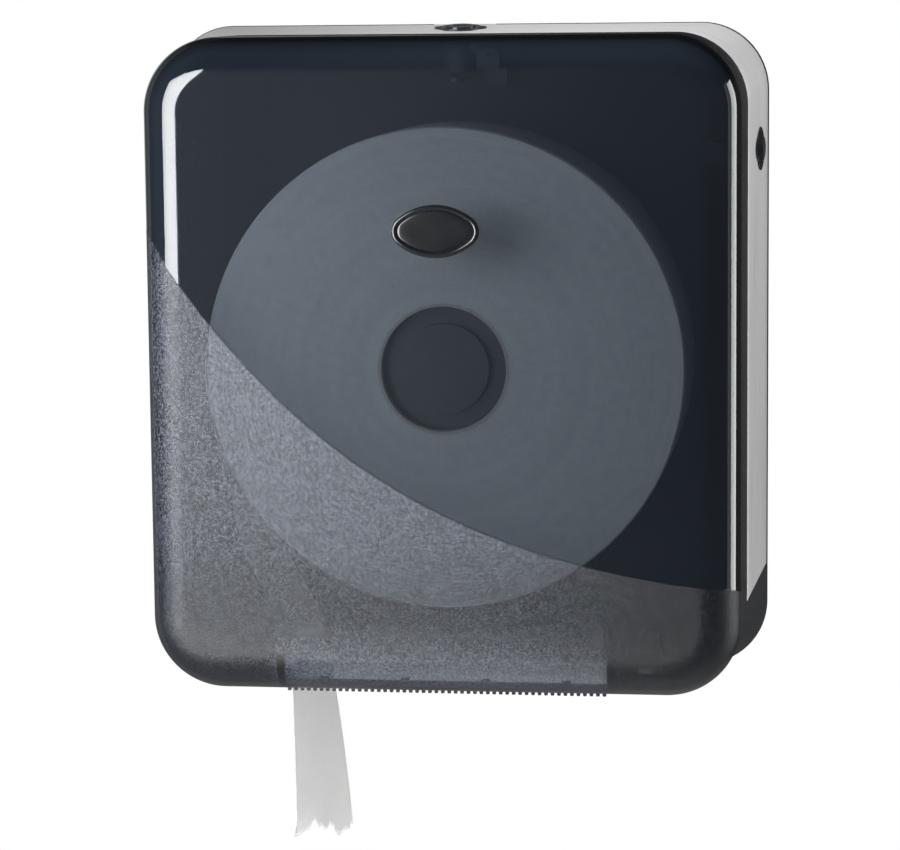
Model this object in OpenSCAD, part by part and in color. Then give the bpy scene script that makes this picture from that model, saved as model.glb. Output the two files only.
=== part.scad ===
// Jumbo toilet roll dispenser: wall housing, hinged see-through cover, key lock and one large roll.
// X to the right, Y into the wall, Z up. The origin is the centre of the housing's back, on the wall.
// Depths are given as distances in front of the wall, so a depth d lies at y = -d.

/* [Wall housing] */
// Width of the rim on the wall
rim_w = 350; // [340:1:380]
// Height of the rim on the wall
rim_h = 374; // [366:1:400]
// Corner radius of the rim
rim_r = 38.5; // [36:0.5:48]
// Depth from the wall to the cover's seam
housing_d = 40; // [38:1:46]
// Thickness of the back plate
back_t = 3; // [2.5:0.5:4]
// Thickness of the tray wall
tray_t = 2.5; // [2:0.5:3.5]
// Thickness of the rim lip behind the trim band
rim_lip = 1.5; // [1:0.5:3]
// Distance between wall screws, left to right
screw_span_x = 160; // [130:5:180]
// Distance between wall screws, top to bottom
screw_span_z = 170; // [140:5:190]
// Bore for a wall screw
wall_screw_bore = 5.5; // [4.5:0.5:7]
// Outside diameter of a wall screw boss
wall_boss_d = 16; // [12:1:20]

/* [Trim band] */
// Thickness of the silver band
band_t = 1.4; // [1:0.1:2]
// Height of the band's lower end at the wall, below the middle
band_end_back = 125; // [110:1:135]
// Height of the band's lower end at the seam, below the middle
band_end_front = 142; // [130:1:150]
// Width of the tab that bridges the rim over the lock
band_tab_w = 36; // [34:1:50]

/* [Cover] */
// Width of the cover
cover_w = 330; // [324:1:340]
// Height of the cover
cover_h = 364; // [358:1:370]
// Corner radius of the cover, seen from the front
cover_r = 41; // [36:0.5:48]
// Thickness of the cover's wall
cover_t = 2.5; // [2:0.5:3.5]
// Radius of the rounded front edge
edge_r = 22; // [18:1:26]
// Gap at the seam
seam = 0.6; // [0.4:0.1:1.2]
// Length of the locating tongue that reaches into the cover
tongue_l = 5; // [3:0.5:7]

/* [Mouth and tear bar] */
// Width of the mouth
mouth_w = 182; // [160:1:186]
// Depth of the mouth's back edge
mouth_back = 8; // [6:1:12]
// Height of the cheek at each end of the mouth
cheek_h = 20; // [14:1:22]
// Thickness of a cheek
cheek_t = 3.5; // [2.5:0.5:5]
// Number of teeth
teeth = 50; // [40:1:56]
// Length that the teeth stand out below the cover
tooth_out = 2.5; // [2:0.5:5]
// Thickness of the tear bar's blade
blade_t = 1.2; // [1:0.1:2]
// Width of the tear bar's seat in front of the mouth
bar_seat = 5.5; // [5.5:0.5:7]
// Width of the flat floor between the mouth and the rounded edge
edge_gap = 1.5; // [1:0.5:6]

/* [Roll] */
// Outside diameter of the paper roll
roll_d = 268; // [180:1:274]
// Width of the paper
roll_w = 90; // [80:1:100]
// Inside diameter of the cardboard core
core_id = 70; // [64:1:76]
// Wall of the cardboard core
core_t = 1.6; // [1:0.2:3]
// Height of the roll's axis below the middle
roll_drop = 2; // [0:0.5:10]
// Depth of the roll's back face
roll_back = 14; // [14:0.5:16]
// Length of paper hanging below the cover
tail_out = 97; // [40:1:120]
// Gap between the hanging tail and the end of the mouth
tail_gap = 1; // [0.8:0.2:8]

/* [Spindle] */
// Outside diameter of the spindle
spindle_d = 40; // [34:1:44]
// Wall of the spindle
spindle_t = 3; // [2:0.5:4]
// Diameter of the spindle's flange
flange_d = 80; // [76:1:90]
// Thickness of the spindle's flange
flange_t = 4; // [3:0.5:4]
// Thickness of the pad under the flange
pad_t = 3; // [2:0.5:3]
// Pitch circle of the spindle screws
spindle_pcd = 62; // [60:1:66]
// Diameter of the spindle's snap cap
cap_d = 50; // [46:1:56]

/* [Lock] */
// Diameter of the lock barrel
barrel_d = 17; // [14:0.5:18]
// Length of the pointed oval on the lock plate
lock_eye_l = 30; // [27:0.5:34]
// Depth of the lock's centre from the wall
lock_depth = 20; // [19:0.5:21]
// Length of the cam from the barrel's axis
cam_l = 27; // [25:0.5:30]
// Angle that the lock's barrel leans towards the front
lock_lean = 7.125; // [0:0.125:12]

/* [Release buttons] */
// Diameter of a button
button_d = 11.5; // [9:0.5:12]
// Travel of a button
button_travel = 3; // [2:0.5:3.5]
// Height of the buttons above the middle
button_z = 115.5; // [90:0.5:125]
// Depth of the buttons from the wall
button_depth = 18; // [17:0.5:20]
// Length of the pointed oval round a button
button_eye_l = 24.5; // [22:0.5:28]

/* [Hinge] */
// Diameter of the hinge pins
pin_d = 5; // [4:0.5:6]
// Depth of the hinge axis from the wall
hinge_depth = 58; // [57:0.5:60]
// Height of the hinge axis above the cover's underside
hinge_rise = 10; // [9:0.5:11]
// Distance from a cheek of the mouth to the centre of a hinge lug
lug_offset = 13.5; // [12.5:0.5:18]
// Width of a hinge lug
lug_w = 8; // [6:0.5:9]
// Width of a hinge ear
ear_w = 5; // [4:0.5:6]

/* [Badge] */
// Length of the badge
badge_l = 48; // [40:1:56]
// Height of the badge
badge_h = 29; // [24:1:32]
// Height of the badge's centre above the middle
badge_z = 76.4; // [60:0.2:90]
// Width of the badge's raised rim
badge_rim = 3; // [2:0.5:4]

/* [Hidden] */

// Clearances
slip = 0.1;             // between pieces that are fastened together
run = 0.05;             // radial, between a shaft and its bore
free_gap = 0.4;         // between pieces that pass each other
root = 0.5;             // how far a boss or block reaches into the wall that carries it
axial = 0.2;            // end play of the hub on the spindle
cut = 1;                // how far a cutting shape overshoots
skin = 0.01;            // thickness of the slabs that a flared shape is hulled from

// Facets
corner_fn = 48;         // corners of the flared housing
round_fn = 64;          // every other round

// Flare of the housing, per millimetre of depth
side_flare = (rim_w - cover_w) / 2 / housing_d;
top_flare = (rim_h - cover_h) / 2 / housing_d;
corner_flare = (rim_r - cover_r) / housing_d;
recess_t = band_t + slip;
cavity_inset = recess_t + tray_t;
wall_boss_h = 3;
band_end_gap = 0.3;

// Roll, and the mouth and cover in front of it
axis_z = -roll_drop;
core_od = core_id + 2 * core_t;
roll_front = roll_back + roll_w;
paper_gap = 1.2;
mouth_front = roll_front + paper_gap + blade_t + slip;
edge_back = mouth_front + edge_gap;
cover_front = edge_back + edge_r;
cover_back = housing_d + seam;
tongue_gap = 0.5;
tongue_t = 2;
tongue_root = 4.5;
tongue_low = -(cover_h / 2 - cover_r);
floor_z = -(cover_h / 2 - cover_t);

// Hinge
lug_x = mouth_w / 2 + cheek_t + lug_offset;
hinge_z = -cover_h / 2 + hinge_rise;
lug_clear = 2;
lug_r = hinge_rise - cover_t - lug_clear;
lug_gap = 0.8;
ear_gap = free_gap;
pin_head_d = pin_d + 2.5;
pin_head_t = 1.5;
relief_depth = housing_d + 2.5;
ear_inner = lug_w / 2 + ear_gap;
ear_outer = ear_inner + ear_w;

// Spindle and hub
flange_back = back_t + pad_t;
flange_front = flange_back + flange_t;
pad_margin = 3;
collar_w = 3;
collar_d = spindle_d + 2 * collar_w;
hub_flange_t = 2;
hub_back = roll_back - hub_flange_t - free_gap;
collar_front = hub_back - axial;
hub_short = 7;
hub_front = roll_front - hub_short;
spindle_front = hub_front + axial;
hub_lip = 11;
hub_flange_d = core_od + 2 * hub_lip;
hub_ring_t = 2.5;
hub_web_t = 3;
hub_tube_t = 3;
rib_t = 2.4;
hub_ribs = 6;
cap_t = 3.5;
cap_plug_l = 10;

// Screws
screw_d = 4;
screw_head_d = 8;
screw_skin = 0.8;
spindle_screw_count = 4;
small_screw_d = 3;
small_head_d = 5;
small_head_t = 1.8;

// Lock
lock_top_z = rim_h / 2 - top_flare * lock_depth;
guide_t = 2.5;
guide_d = barrel_d + 2 * guide_t;
guide_reach = 11;
strike_pad_t = 6;
strike_plate_z = cover_h / 2 - cover_t - strike_pad_t;
band_slope = atan(top_flare);
nut_d = guide_d + 8;
nut_t = 5;
nut_top = cavity_inset + slip + nut_d / 2 * tan(abs(band_slope - lock_lean));
guide_l = max(lock_top_z - strike_plate_z, nut_top + nut_t) + guide_reach;
lock_eye_w = 15;
plate_t = 1.2;
barrel_out = 0.6;
key_slot_w = 2;
key_slot_l = 8;
key_slot_d = 4;
cam_w = 9;
cam_t = 2.5;
cam_gap = 2;
cam_z = guide_l + cam_gap;
cam_square = 7;
cam_screw_l = 9;

// Strike on the cover, beside the lock
strike_t = 2;
strike_gap = 1.5;
strike_x0 = guide_d / 2 + strike_gap;
strike_w = 13;
strike_pad_front = cover_back + 25;
strike_pad_back = cover_back + tongue_l;
cam_axis_shift = (cam_z + cam_t) * sin(lock_lean);
cam_top_z = lock_top_z - cam_z * cos(lock_lean) + cam_w / 2 * sin(lock_lean);
strike_arm_z = cam_top_z + 1;
hook_front = lock_depth - cam_axis_shift - cam_w / 2 - free_gap;
hook_back = hook_front - strike_t;
hook_l = cam_t + 8;

// Buttons: lengths run inwards from the band's surface
button_x = rim_w / 2 - side_flare * button_depth;
button_tilt = atan(side_flare);
sleeve_t = 1.75;
sleeve_d = button_d + 2 * sleeve_t + 2 * run;
sleeve_l = 10;
button_eye_w = 12;
button_dome = 3.2;
button_flange_in = sleeve_l + 0.2;
button_flange_t = 1.5;
button_flange_d = sleeve_d + 3;
spring_in = button_flange_in + button_flange_t;
spring_l = 6.3;
spring_d = 9.5;
spring_wire = 0.8;
spring_turns = 3;
bracket_in = spring_in + spring_l;
bracket_t = button_travel + 1;
bracket_h = 18;
stem_d = 6;
stem_end = bracket_in + 0.6;
arm_in = bracket_in + bracket_t + free_gap;
arm_t = 2.5;
arm_h = 12;
arm_back = 10;
arm_root_t = 2.5;
arm_foot_l = 18;
arm_front = cover_back + 30;

// Badge
badge_t = 1.4;
badge_rim_t = 2.6;
badge_end_r = 9;

// Tear bar
bar_t = 2;
bar_front = mouth_front + bar_seat;
blade_front = mouth_front - slip;
blade_back = blade_front - blade_t;
bar_screw_depth = (blade_back + bar_front) / 2;
tooth_pitch = mouth_w / teeth;
tooth_root = 1.2;
bar_screws = 4;

// Tail
tail_t = 0.6;
tail_r = roll_d / 2 + 0.3;
tail_wrap = 24;
tail_bend_z = floor_z + cheek_h + tail_gap;
tail_x = mouth_w / 2 - tail_gap - tail_t;
tail_lean = atan2(axis_z - tail_bend_z, tail_x) - acos(tail_r / norm([tail_x, axis_z - tail_bend_z]));

// ---------- Shared shapes ----------

// An outline drawn as seen from the front, from depth d0 to depth d1
module forward(d0, d1) {
    translate([0, -d0, 0]) rotate([90, 0, 0]) linear_extrude(d1 - d0) children();
}

module rounded(w, h, r) {
    square([w - 2 * r, h], center = true);
    square([w, h - 2 * r], center = true);
    for (x = [-1, 1], z = [-1, 1])
        translate([x * (w / 2 - r), z * (h / 2 - r)]) circle(r, $fn = round_fn);
}

// The housing's outline at one depth, drawn in by inset
module housing_slab(inset, depth) {
    forward(depth, depth + skin)
        rounded(rim_w - 2 * (side_flare * depth + inset), rim_h - 2 * (top_flare * depth + inset),
            rim_r - corner_flare * depth - inset, $fn = corner_fn);
}

module flared(inset, d0, d1) {
    hull() {
        housing_slab(inset, d0);
        housing_slab(inset, d1 - skin);
    }
}

// A box given by its limits: x, depth from the wall, z
module block(x0, x1, d0, d1, z0, z1) {
    translate([x0, -d1, z0]) cube([x1 - x0, d1 - d0, z1 - z0]);
}

// A round bar along X
module bar_x(d, x0, x1, depth, z) {
    translate([x0, -depth, z]) rotate([0, 90, 0]) cylinder(d = d, h = x1 - x0, $fn = round_fn);
}

// A round bar along Y from depth d0 to depth d1
module bar_y(d, d0, d1, x = 0, z = 0) {
    translate([x, -d0, z]) rotate([90, 0, 0]) cylinder(d = d, h = d1 - d0, $fn = round_fn);
}

// A pointed oval: two arcs that meet at its tips
module eye(l, w) {
    r = (l * l + w * w) / (4 * w);
    intersection() {
        translate([0, r - w / 2]) circle(r, $fn = 2 * round_fn);
        translate([0, w / 2 - r]) circle(r, $fn = 2 * round_fn);
    }
}

// An oval of four arcs that run into each other smoothly
module oval(l, h, r) {
    c = l / 2 - r;
    big = (c * c + h * h / 4 - r * r) / (h - 2 * r);
    reach = c * big / (big - r);
    for (s = [-1, 1]) translate([s * c, 0]) circle(r, $fn = round_fn);
    intersection() {
        translate([0, big - h / 2]) circle(big, $fn = 3 * round_fn);
        translate([0, h / 2 - big]) circle(big, $fn = 3 * round_fn);
        square([2 * reach, h], center = true);
    }
}

module both_sides() {
    children();
    mirror([1, 0, 0]) children();
}

module on_side(side) {
    if (side < 0) mirror([1, 0, 0]) children();
    else children();
}

// Four places on the spindle's pitch circle
module at_spindle_screws() {
    for (i = [0 : spindle_screw_count - 1])
        translate([0, 0, axis_z]) rotate([0, 45 + i * 360 / spindle_screw_count, 0])
            translate([spindle_pcd / 2, 0, 0]) children();
}

module at_wall_screws() {
    for (x = [-1, 1], z = [-1, 1])
        translate([x * screw_span_x / 2, 0, z * screw_span_z / 2]) children();
}

// Local Z is the barrel's axis, 0 on the band
module at_lock() {
    translate([0, -lock_depth, lock_top_z]) rotate([lock_lean, 0, 0]) children();
}

// Local Z stands square on the band
module at_lock_plate() {
    translate([0, -lock_depth, lock_top_z]) rotate([band_slope, 0, 0]) children();
}

// Local Z runs outwards along X, 0 on the band
module at_button() {
    translate([button_x, -button_depth, button_z]) rotate([0, 90, 0]) children();
}

// ---------- Wall housing ----------

module lock_bore() {
    at_lock() translate([0, 0, -guide_l]) cylinder(d = guide_d + 2 * slip, h = 2 * guide_l, $fn = round_fn);
}

module sleeve_bore() {
    at_button() translate([0, 0, -sleeve_l]) cylinder(d = sleeve_d + 2 * slip, h = 2 * sleeve_l,
        $fn = round_fn);
}

// Side view of the space above the band's slanted lower end, widened down by drop
module above_band_end(drop) {
    rotate([90, 0, 90]) translate([0, 0, -rim_w]) linear_extrude(2 * rim_w)
        polygon([[cut, rim_h], [cut, -band_end_back - drop], [0, -band_end_back - drop],
            [-housing_d, -band_end_front - drop], [-housing_d - cut, -band_end_front - drop],
            [-housing_d - cut, rim_h]]);
}

module band_tab(gap) {
    block(-band_tab_w / 2 - gap, band_tab_w / 2 + gap, -cut, rim_lip + cut, rim_h / 2 - recess_t - cut,
        rim_h / 2 + cut);
}

module tray_shell() {
    difference() {
        union() {
            difference() {
                flared(0, 0, housing_d);
                intersection() {
                    above_band_end(0);
                    union() {
                        block(-rim_w, rim_w, rim_lip, housing_d + cut, -rim_h, rim_h);
                        band_tab(slip);
                    }
                }
            }
            flared(recess_t, 0, housing_d);
        }
        flared(cavity_inset, back_t, housing_d + cut);
    }
}

module tongue() {
    outer = cover_t + tongue_gap;
    inner = outer + tongue_t;
    difference() {
        forward(housing_d - tongue_root, cover_back + tongue_l)
            rounded(cover_w - 2 * outer, cover_h - 2 * outer, cover_r - outer);
        forward(housing_d - tongue_root - cut, cover_back + tongue_l + cut)
            rounded(cover_w - 2 * inner, cover_h - 2 * inner, cover_r - inner);
        block(-cover_w, cover_w, 0, cover_front, -cover_h, tongue_low);
        at_lock() translate([0, 0, -guide_l])
            cylinder(d = nut_d + 2 * free_gap, h = guide_l - nut_top, $fn = round_fn);
    }
}

module hinge_lug() {
    block(lug_x - lug_w / 2, lug_x + lug_w / 2, back_t, housing_d, floor_z - cover_t, hinge_z + lug_r);
    block(lug_x - lug_w / 2, lug_x + lug_w / 2, housing_d - cut, hinge_depth, hinge_z - lug_r,
        hinge_z + lug_r);
    bar_x(2 * lug_r, lug_x - lug_w / 2, lug_x + lug_w / 2, hinge_depth, hinge_z);
}

module spring_bracket() {
    block(button_x - bracket_in - bracket_t, button_x - bracket_in, root, button_depth + button_flange_d / 2,
        button_z - bracket_h / 2, button_z + bracket_h / 2);
}

module rear_housing() {
    color([0.10, 0.10, 0.11]) difference() {
        union() {
            tray_shell();
            tongue();
            bar_y(flange_d + 2 * pad_margin, back_t - root, flange_back, 0, axis_z);
            at_wall_screws() bar_y(wall_boss_d, back_t - root, back_t + wall_boss_h);
            both_sides() {
                hinge_lug();
                spring_bracket();
            }
        }
        at_wall_screws() bar_y(wall_screw_bore, -cut, back_t + wall_boss_h + cut);
        at_spindle_screws() bar_y(screw_d + 2 * slip, screw_skin - 0.2, flange_back + cut);
        block(-mouth_w / 2, mouth_w / 2, mouth_back, cover_front, -rim_h, floor_z + cheek_h);
        lock_bore();
        both_sides() {
            bar_x(pin_d + 2 * run, lug_x - lug_w, lug_x + lug_w, hinge_depth, hinge_z);
            sleeve_bore();
            at_button() translate([0, 0, -bracket_in - bracket_t - cut])
                cylinder(d = stem_d + 2 * slip, h = bracket_t + 2 * cut, $fn = round_fn);
        }
    }
}

module trim_band() {
    color([0.75, 0.76, 0.77]) difference() {
        intersection() {
            flared(run, run, housing_d - slip);
            above_band_end(-band_end_gap);
            union() {
                block(-rim_w, rim_w, rim_lip + slip, housing_d, -rim_h, rim_h);
                band_tab(0);
            }
        }
        flared(band_t, -cut, housing_d + cut);
        lock_bore();
        both_sides() sleeve_bore();
    }
}

// ---------- Spindle ----------

module spindle() {
    color([0.16, 0.16, 0.17]) translate([0, 0, axis_z]) difference() {
        union() {
            bar_y(flange_d, flange_back, flange_front);
            bar_y(collar_d, flange_front - slip, collar_front);
            bar_y(spindle_d, flange_front - slip, spindle_front);
        }
        bar_y(spindle_d - 2 * spindle_t, flange_front, spindle_front + cut);
        translate([0, 0, -axis_z]) at_spindle_screws() {
            bar_y(screw_d + 2 * slip, 0, cover_front);
            translate([0, -flange_front, 0]) rotate([-90, 0, 0])
                cylinder(d1 = screw_head_d + 2 * slip, d2 = screw_d + 2 * slip, h = 2, $fn = round_fn);
        }
    }
}

module spindle_screws() {
    color([0.62, 0.63, 0.65]) at_spindle_screws() difference() {
        union() {
            bar_y(screw_d, screw_skin, flange_front - 1);
            translate([0, -flange_front, 0]) rotate([-90, 0, 0])
                cylinder(d1 = screw_head_d, d2 = screw_d, h = 2, $fn = round_fn);
        }
        for (a = [0, 90]) rotate([0, a, 0]) block(-2, 2, flange_front - 1, flange_front + cut, -0.4, 0.4);
    }
}

module spindle_cap() {
    color([0.16, 0.16, 0.17]) translate([0, 0, axis_z]) {
        bar_y(cap_d, spindle_front, spindle_front + cap_t);
        bar_y(spindle_d - 2 * spindle_t - 2 * slip, spindle_front - cap_plug_l, spindle_front + slip);
    }
}

// ---------- Lock ----------

module lock_housing() {
    color([0.09, 0.09, 0.10]) difference() {
        union() {
            at_lock_plate() {
                linear_extrude(plate_t) eye(lock_eye_l, lock_eye_w);
                cylinder(d = guide_d + 1, h = plate_t, $fn = round_fn);
            }
            difference() {
                at_lock() translate([0, 0, -guide_l]) cylinder(d = guide_d, h = 2 * guide_l, $fn = round_fn);
                at_lock_plate() translate([-lock_eye_l, -lock_eye_l, plate_t / 2]) cube(2 * lock_eye_l);
            }
        }
        at_lock() translate([0, 0, -guide_l - cut])
            cylinder(d = barrel_d + 2 * run, h = 2 * guide_l + cut, $fn = round_fn);
    }
}

module lock_nut() {
    color([0.60, 0.61, 0.63]) at_lock() translate([0, 0, -nut_top - nut_t]) difference() {
        intersection() {
            cylinder(d = nut_d, h = nut_t, $fn = round_fn);
            cylinder(d = nut_d * 1.1, h = nut_t, $fn = 6);
        }
        translate([0, 0, -cut]) cylinder(d = guide_d + 2 * run, h = nut_t + 2 * cut, $fn = round_fn);
    }
}

module lock_barrel() {
    color([0.22, 0.22, 0.23]) at_lock() difference() {
        union() {
            translate([0, 0, -cam_z + slip])
                cylinder(d = barrel_d, h = cam_z + plate_t + barrel_out - slip, $fn = round_fn);
            translate([-cam_square / 2, -cam_square / 2, -cam_z - cam_t])
                cube([cam_square, cam_square, cam_t + cut]);
        }
        translate([-key_slot_l / 2, -key_slot_w / 2, plate_t + barrel_out - key_slot_d])
            cube([key_slot_l, key_slot_w, key_slot_d + cut]);
        translate([0, 0, -cam_z - cam_t - cut])
            cylinder(d = small_screw_d + 2 * slip, h = cam_screw_l + cut + slip, $fn = round_fn);
    }
}

module lock_cam() {
    color([0.60, 0.61, 0.63]) at_lock() translate([0, 0, -cam_z - cam_t]) difference() {
        union() {
            cylinder(d = cam_square * sqrt(2) + 4, h = cam_t, $fn = round_fn);
            translate([-cam_w / 2, -cam_l + cam_w / 2, 0]) cube([cam_w, cam_l - cam_w / 2, cam_t]);
            translate([0, -cam_l + cam_w / 2, 0]) cylinder(d = cam_w, h = cam_t, $fn = round_fn);
        }
        translate([-cam_square / 2 - slip, -cam_square / 2 - slip, -cut])
            cube([cam_square + 2 * slip, cam_square + 2 * slip, cam_t + 2 * cut]);
    }
}

module cam_screw() {
    color([0.62, 0.63, 0.65]) at_lock() translate([0, 0, -cam_z - cam_t]) {
        cylinder(d = small_screw_d, h = cam_screw_l, $fn = round_fn);
        translate([0, 0, -2]) cylinder(d = cam_square * sqrt(2) + 1, h = 2, $fn = round_fn);
    }
}

// ---------- Release buttons ----------

module button_bezel() {
    color([0.09, 0.09, 0.10]) difference() {
        union() {
            translate([button_x, -button_depth, button_z]) rotate([0, 0, -button_tilt]) rotate([0, 90, 0]) {
                linear_extrude(plate_t) eye(button_eye_l, button_eye_w);
                cylinder(d = sleeve_d + 1, h = plate_t, $fn = round_fn);
            }
            difference() {
                at_button() translate([0, 0, -sleeve_l]) cylinder(d = sleeve_d, h = 2 * sleeve_l,
                    $fn = round_fn);
                translate([button_x, -button_depth, button_z]) rotate([0, 0, -button_tilt])
                    translate([plate_t / 2, -button_eye_l, -button_eye_l]) cube(2 * button_eye_l);
            }
        }
        at_button() translate([0, 0, -sleeve_l - cut])
            cylinder(d = button_d + 2 * run, h = 2 * sleeve_l + cut, $fn = round_fn);
    }
}

module release_button() {
    dome_r = (button_d * button_d / 4 + 1) / 2;
    color([0.14, 0.14, 0.15]) at_button() {
        translate([0, 0, -button_flange_in]) cylinder(d = button_d, h = button_flange_in + button_dome - 1,
            $fn = round_fn);
        intersection() {
            translate([0, 0, button_dome - dome_r]) sphere(dome_r, $fn = round_fn);
            translate([0, 0, button_dome - 1 - slip]) cylinder(d = button_d, h = 2, $fn = round_fn);
        }
        translate([0, 0, -button_flange_in - button_flange_t])
            cylinder(d = button_flange_d, h = button_flange_t, $fn = round_fn);
        translate([0, 0, -stem_end]) cylinder(d = stem_d, h = stem_end - button_flange_in, $fn = round_fn);
    }
}

// Centre line of the spring, one turn flat at each end
spring_sides = 8;
spring_steps = 20;
function spring_rise(turn) = spring_wire / 2 + (spring_l - spring_wire) * min(1, max(0, turn / spring_turns));

module coil_spring() {
    count = spring_steps * spring_turns;
    points = [for (i = [0 : count], k = [0 : spring_sides - 1])
        let (a = 360 * i / spring_steps, b = 360 * k / spring_sides,
            r = (spring_d + spring_wire * cos(b)) / 2)
        [r * cos(a), r * sin(a), spring_rise(i / spring_steps) + spring_wire / 2 * sin(b)]];
    sides = [for (i = [0 : count - 1], k = [0 : spring_sides - 1])
        let (j = (k + 1) % spring_sides, p = i * spring_sides, q = p + spring_sides)
        [p + k, p + j, q + j, q + k]];
    caps = [[for (k = [spring_sides - 1 : -1 : 0]) k], [for (k = [0 : spring_sides - 1])
        count * spring_sides + k]];
    polyhedron(points, concat(sides, caps));
}

module button_spring() {
    color([0.70, 0.71, 0.73]) at_button() translate([0, 0, -spring_in - spring_l]) coil_spring();
}

// ---------- Hinge ----------

module hinge_pin() {
    color([0.70, 0.71, 0.73]) {
        bar_x(pin_d, lug_x - ear_outer - slip, lug_x + ear_outer + 1, hinge_depth, hinge_z);
        bar_x(pin_head_d, lug_x - ear_outer - slip - pin_head_t, lug_x - ear_outer - slip, hinge_depth,
            hinge_z);
    }
}

// ---------- Cover ----------

// Half of a slab r wide and e thick whose outer edge is rounded off
module edge_profile(r, e) {
    square([r - e, e]);
    translate([r - e, 0]) intersection() {
        circle(e, $fn = round_fn);
        square(e);
    }
}

// A rounded box with a rounded front edge, drawn in by inset: four corners and four sides round a core
module cushion(inset, back) {
    half = [cover_w / 2 - inset, cover_h / 2 - inset];
    r = cover_r - inset;
    e = edge_r - inset;
    front = cover_front - inset;
    forward(back, front - e) rounded(2 * half[0], 2 * half[1], r);
    forward(front - e, front) square([2 * (half[0] - r), 2 * (half[1] - r)], center = true);
    translate([0, e - front, 0]) rotate([90, 0, 0]) for (k = [0 : 3]) {
        a = half[k % 2] - r;
        b = half[(k + 1) % 2] - r;
        rotate([0, 0, 90 * k]) translate([a, b, 0]) {
            rotate_extrude(angle = 90, $fn = round_fn) edge_profile(r, e);
            rotate([90, 0, 0]) linear_extrude(2 * b) edge_profile(r, e);
        }
    }
}

module cover_shell() {
    difference() {
        cushion(0, cover_back);
        cushion(cover_t, cover_back - cut);
    }
}

module hinge_ears() {
    for (s = [-1, 1]) {
        x0 = lug_x + (s < 0 ? -ear_outer : ear_inner);
        block(x0, x0 + ear_w, hinge_depth - lug_r, hinge_depth + lug_r, floor_z - slip, hinge_z);
        bar_x(2 * lug_r, x0, x0 + ear_w, hinge_depth, hinge_z);
    }
}

module front_cover() {
    color([0.20, 0.22, 0.26]) difference() {
        union() {
            cover_shell();
            both_sides() {
                hinge_ears();
                block(mouth_w / 2, mouth_w / 2 + cheek_t, hinge_depth + 4, bar_front, floor_z - slip,
                    floor_z + cheek_h);
            }
            block(strike_x0 - 1, strike_x0 + strike_w + 1, strike_pad_back, strike_pad_front, strike_plate_z,
                cover_h / 2 - cover_t / 2);
        }
        block(-mouth_w / 2, mouth_w / 2, 0, mouth_front, -cover_h, floor_z + cheek_h);
        block(-cover_w, cover_w, 0, relief_depth, -cover_h, hinge_z);
        both_sides() {
            block(lug_x - lug_w / 2 - lug_gap, lug_x + lug_w / 2 + lug_gap, 0, hinge_depth + 8, -cover_h,
                floor_z + cut);
            bar_x(pin_d + 2 * run, lug_x - ear_outer - cut, lug_x + ear_outer + cut, hinge_depth, hinge_z);
        }
        at_strike_screws() translate([0, 0, -cut]) cylinder(d = small_screw_d + 2 * slip, h = 5 + cut + slip,
            $fn = round_fn);
        at_bar_screws() translate([0, 0, -cover_t + 0.2]) cylinder(d = small_screw_d + 2 * slip, h = cover_t,
            $fn = round_fn);
    }
}

// The underside of the strike pad
module at_strike_screws() {
    for (d = [0.3, 0.7])
        translate([strike_x0 + strike_w / 2, -strike_pad_back - d * (strike_pad_front - strike_pad_back),
            strike_plate_z]) children();
}

module cover_strike() {
    x1 = strike_x0 + strike_w;
    color([0.60, 0.61, 0.63]) difference() {
        union() {
            block(strike_x0, x1, strike_pad_back, strike_pad_front, strike_plate_z - strike_t,
                strike_plate_z);
            block(strike_x0, x1, strike_pad_back, strike_pad_back + strike_t, strike_arm_z, strike_plate_z);
            block(strike_x0, x1, hook_back, strike_pad_back + strike_t, strike_arm_z,
                strike_arm_z + strike_t);
            block(strike_x0, x1, hook_back, hook_front, strike_arm_z - hook_l, strike_arm_z + strike_t);
        }
        at_strike_screws() translate([0, 0, -strike_t - cut])
            cylinder(d = small_screw_d + 2 * slip, h = strike_t + 2 * cut, $fn = round_fn);
    }
}

module strike_screws() {
    color([0.62, 0.63, 0.65]) at_strike_screws() {
        translate([0, 0, -strike_t]) cylinder(d = small_screw_d, h = strike_t + 5, $fn = round_fn);
        translate([0, 0, -strike_t - small_head_t]) cylinder(d = small_head_d, h = small_head_t,
            $fn = round_fn);
    }
}

// A springy arm behind each button, on a foot bonded to the cover's side wall
module cover_catch() {
    foot_x = cover_w / 2 - cover_t - slip;
    arm_x = button_x - arm_in - arm_t;
    z0 = button_z - arm_h / 2;
    z1 = button_z + arm_h / 2;
    color([0.10, 0.10, 0.11]) {
        block(arm_x, arm_x + arm_t, arm_back, arm_front, z0, z1);
        block(arm_x, foot_x, arm_front - arm_root_t, arm_front, z0, z1);
        block(foot_x - arm_root_t, foot_x, arm_front - arm_foot_l, arm_front, z0, z1);
    }
}

// ---------- Tear bar ----------

// Local Z points up from the cover's floor
module at_bar_screws() {
    for (i = [0 : bar_screws - 1])
        translate([mouth_w * ((i + 0.5) / bar_screws - 0.5), -bar_screw_depth, floor_z]) children();
}

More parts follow.
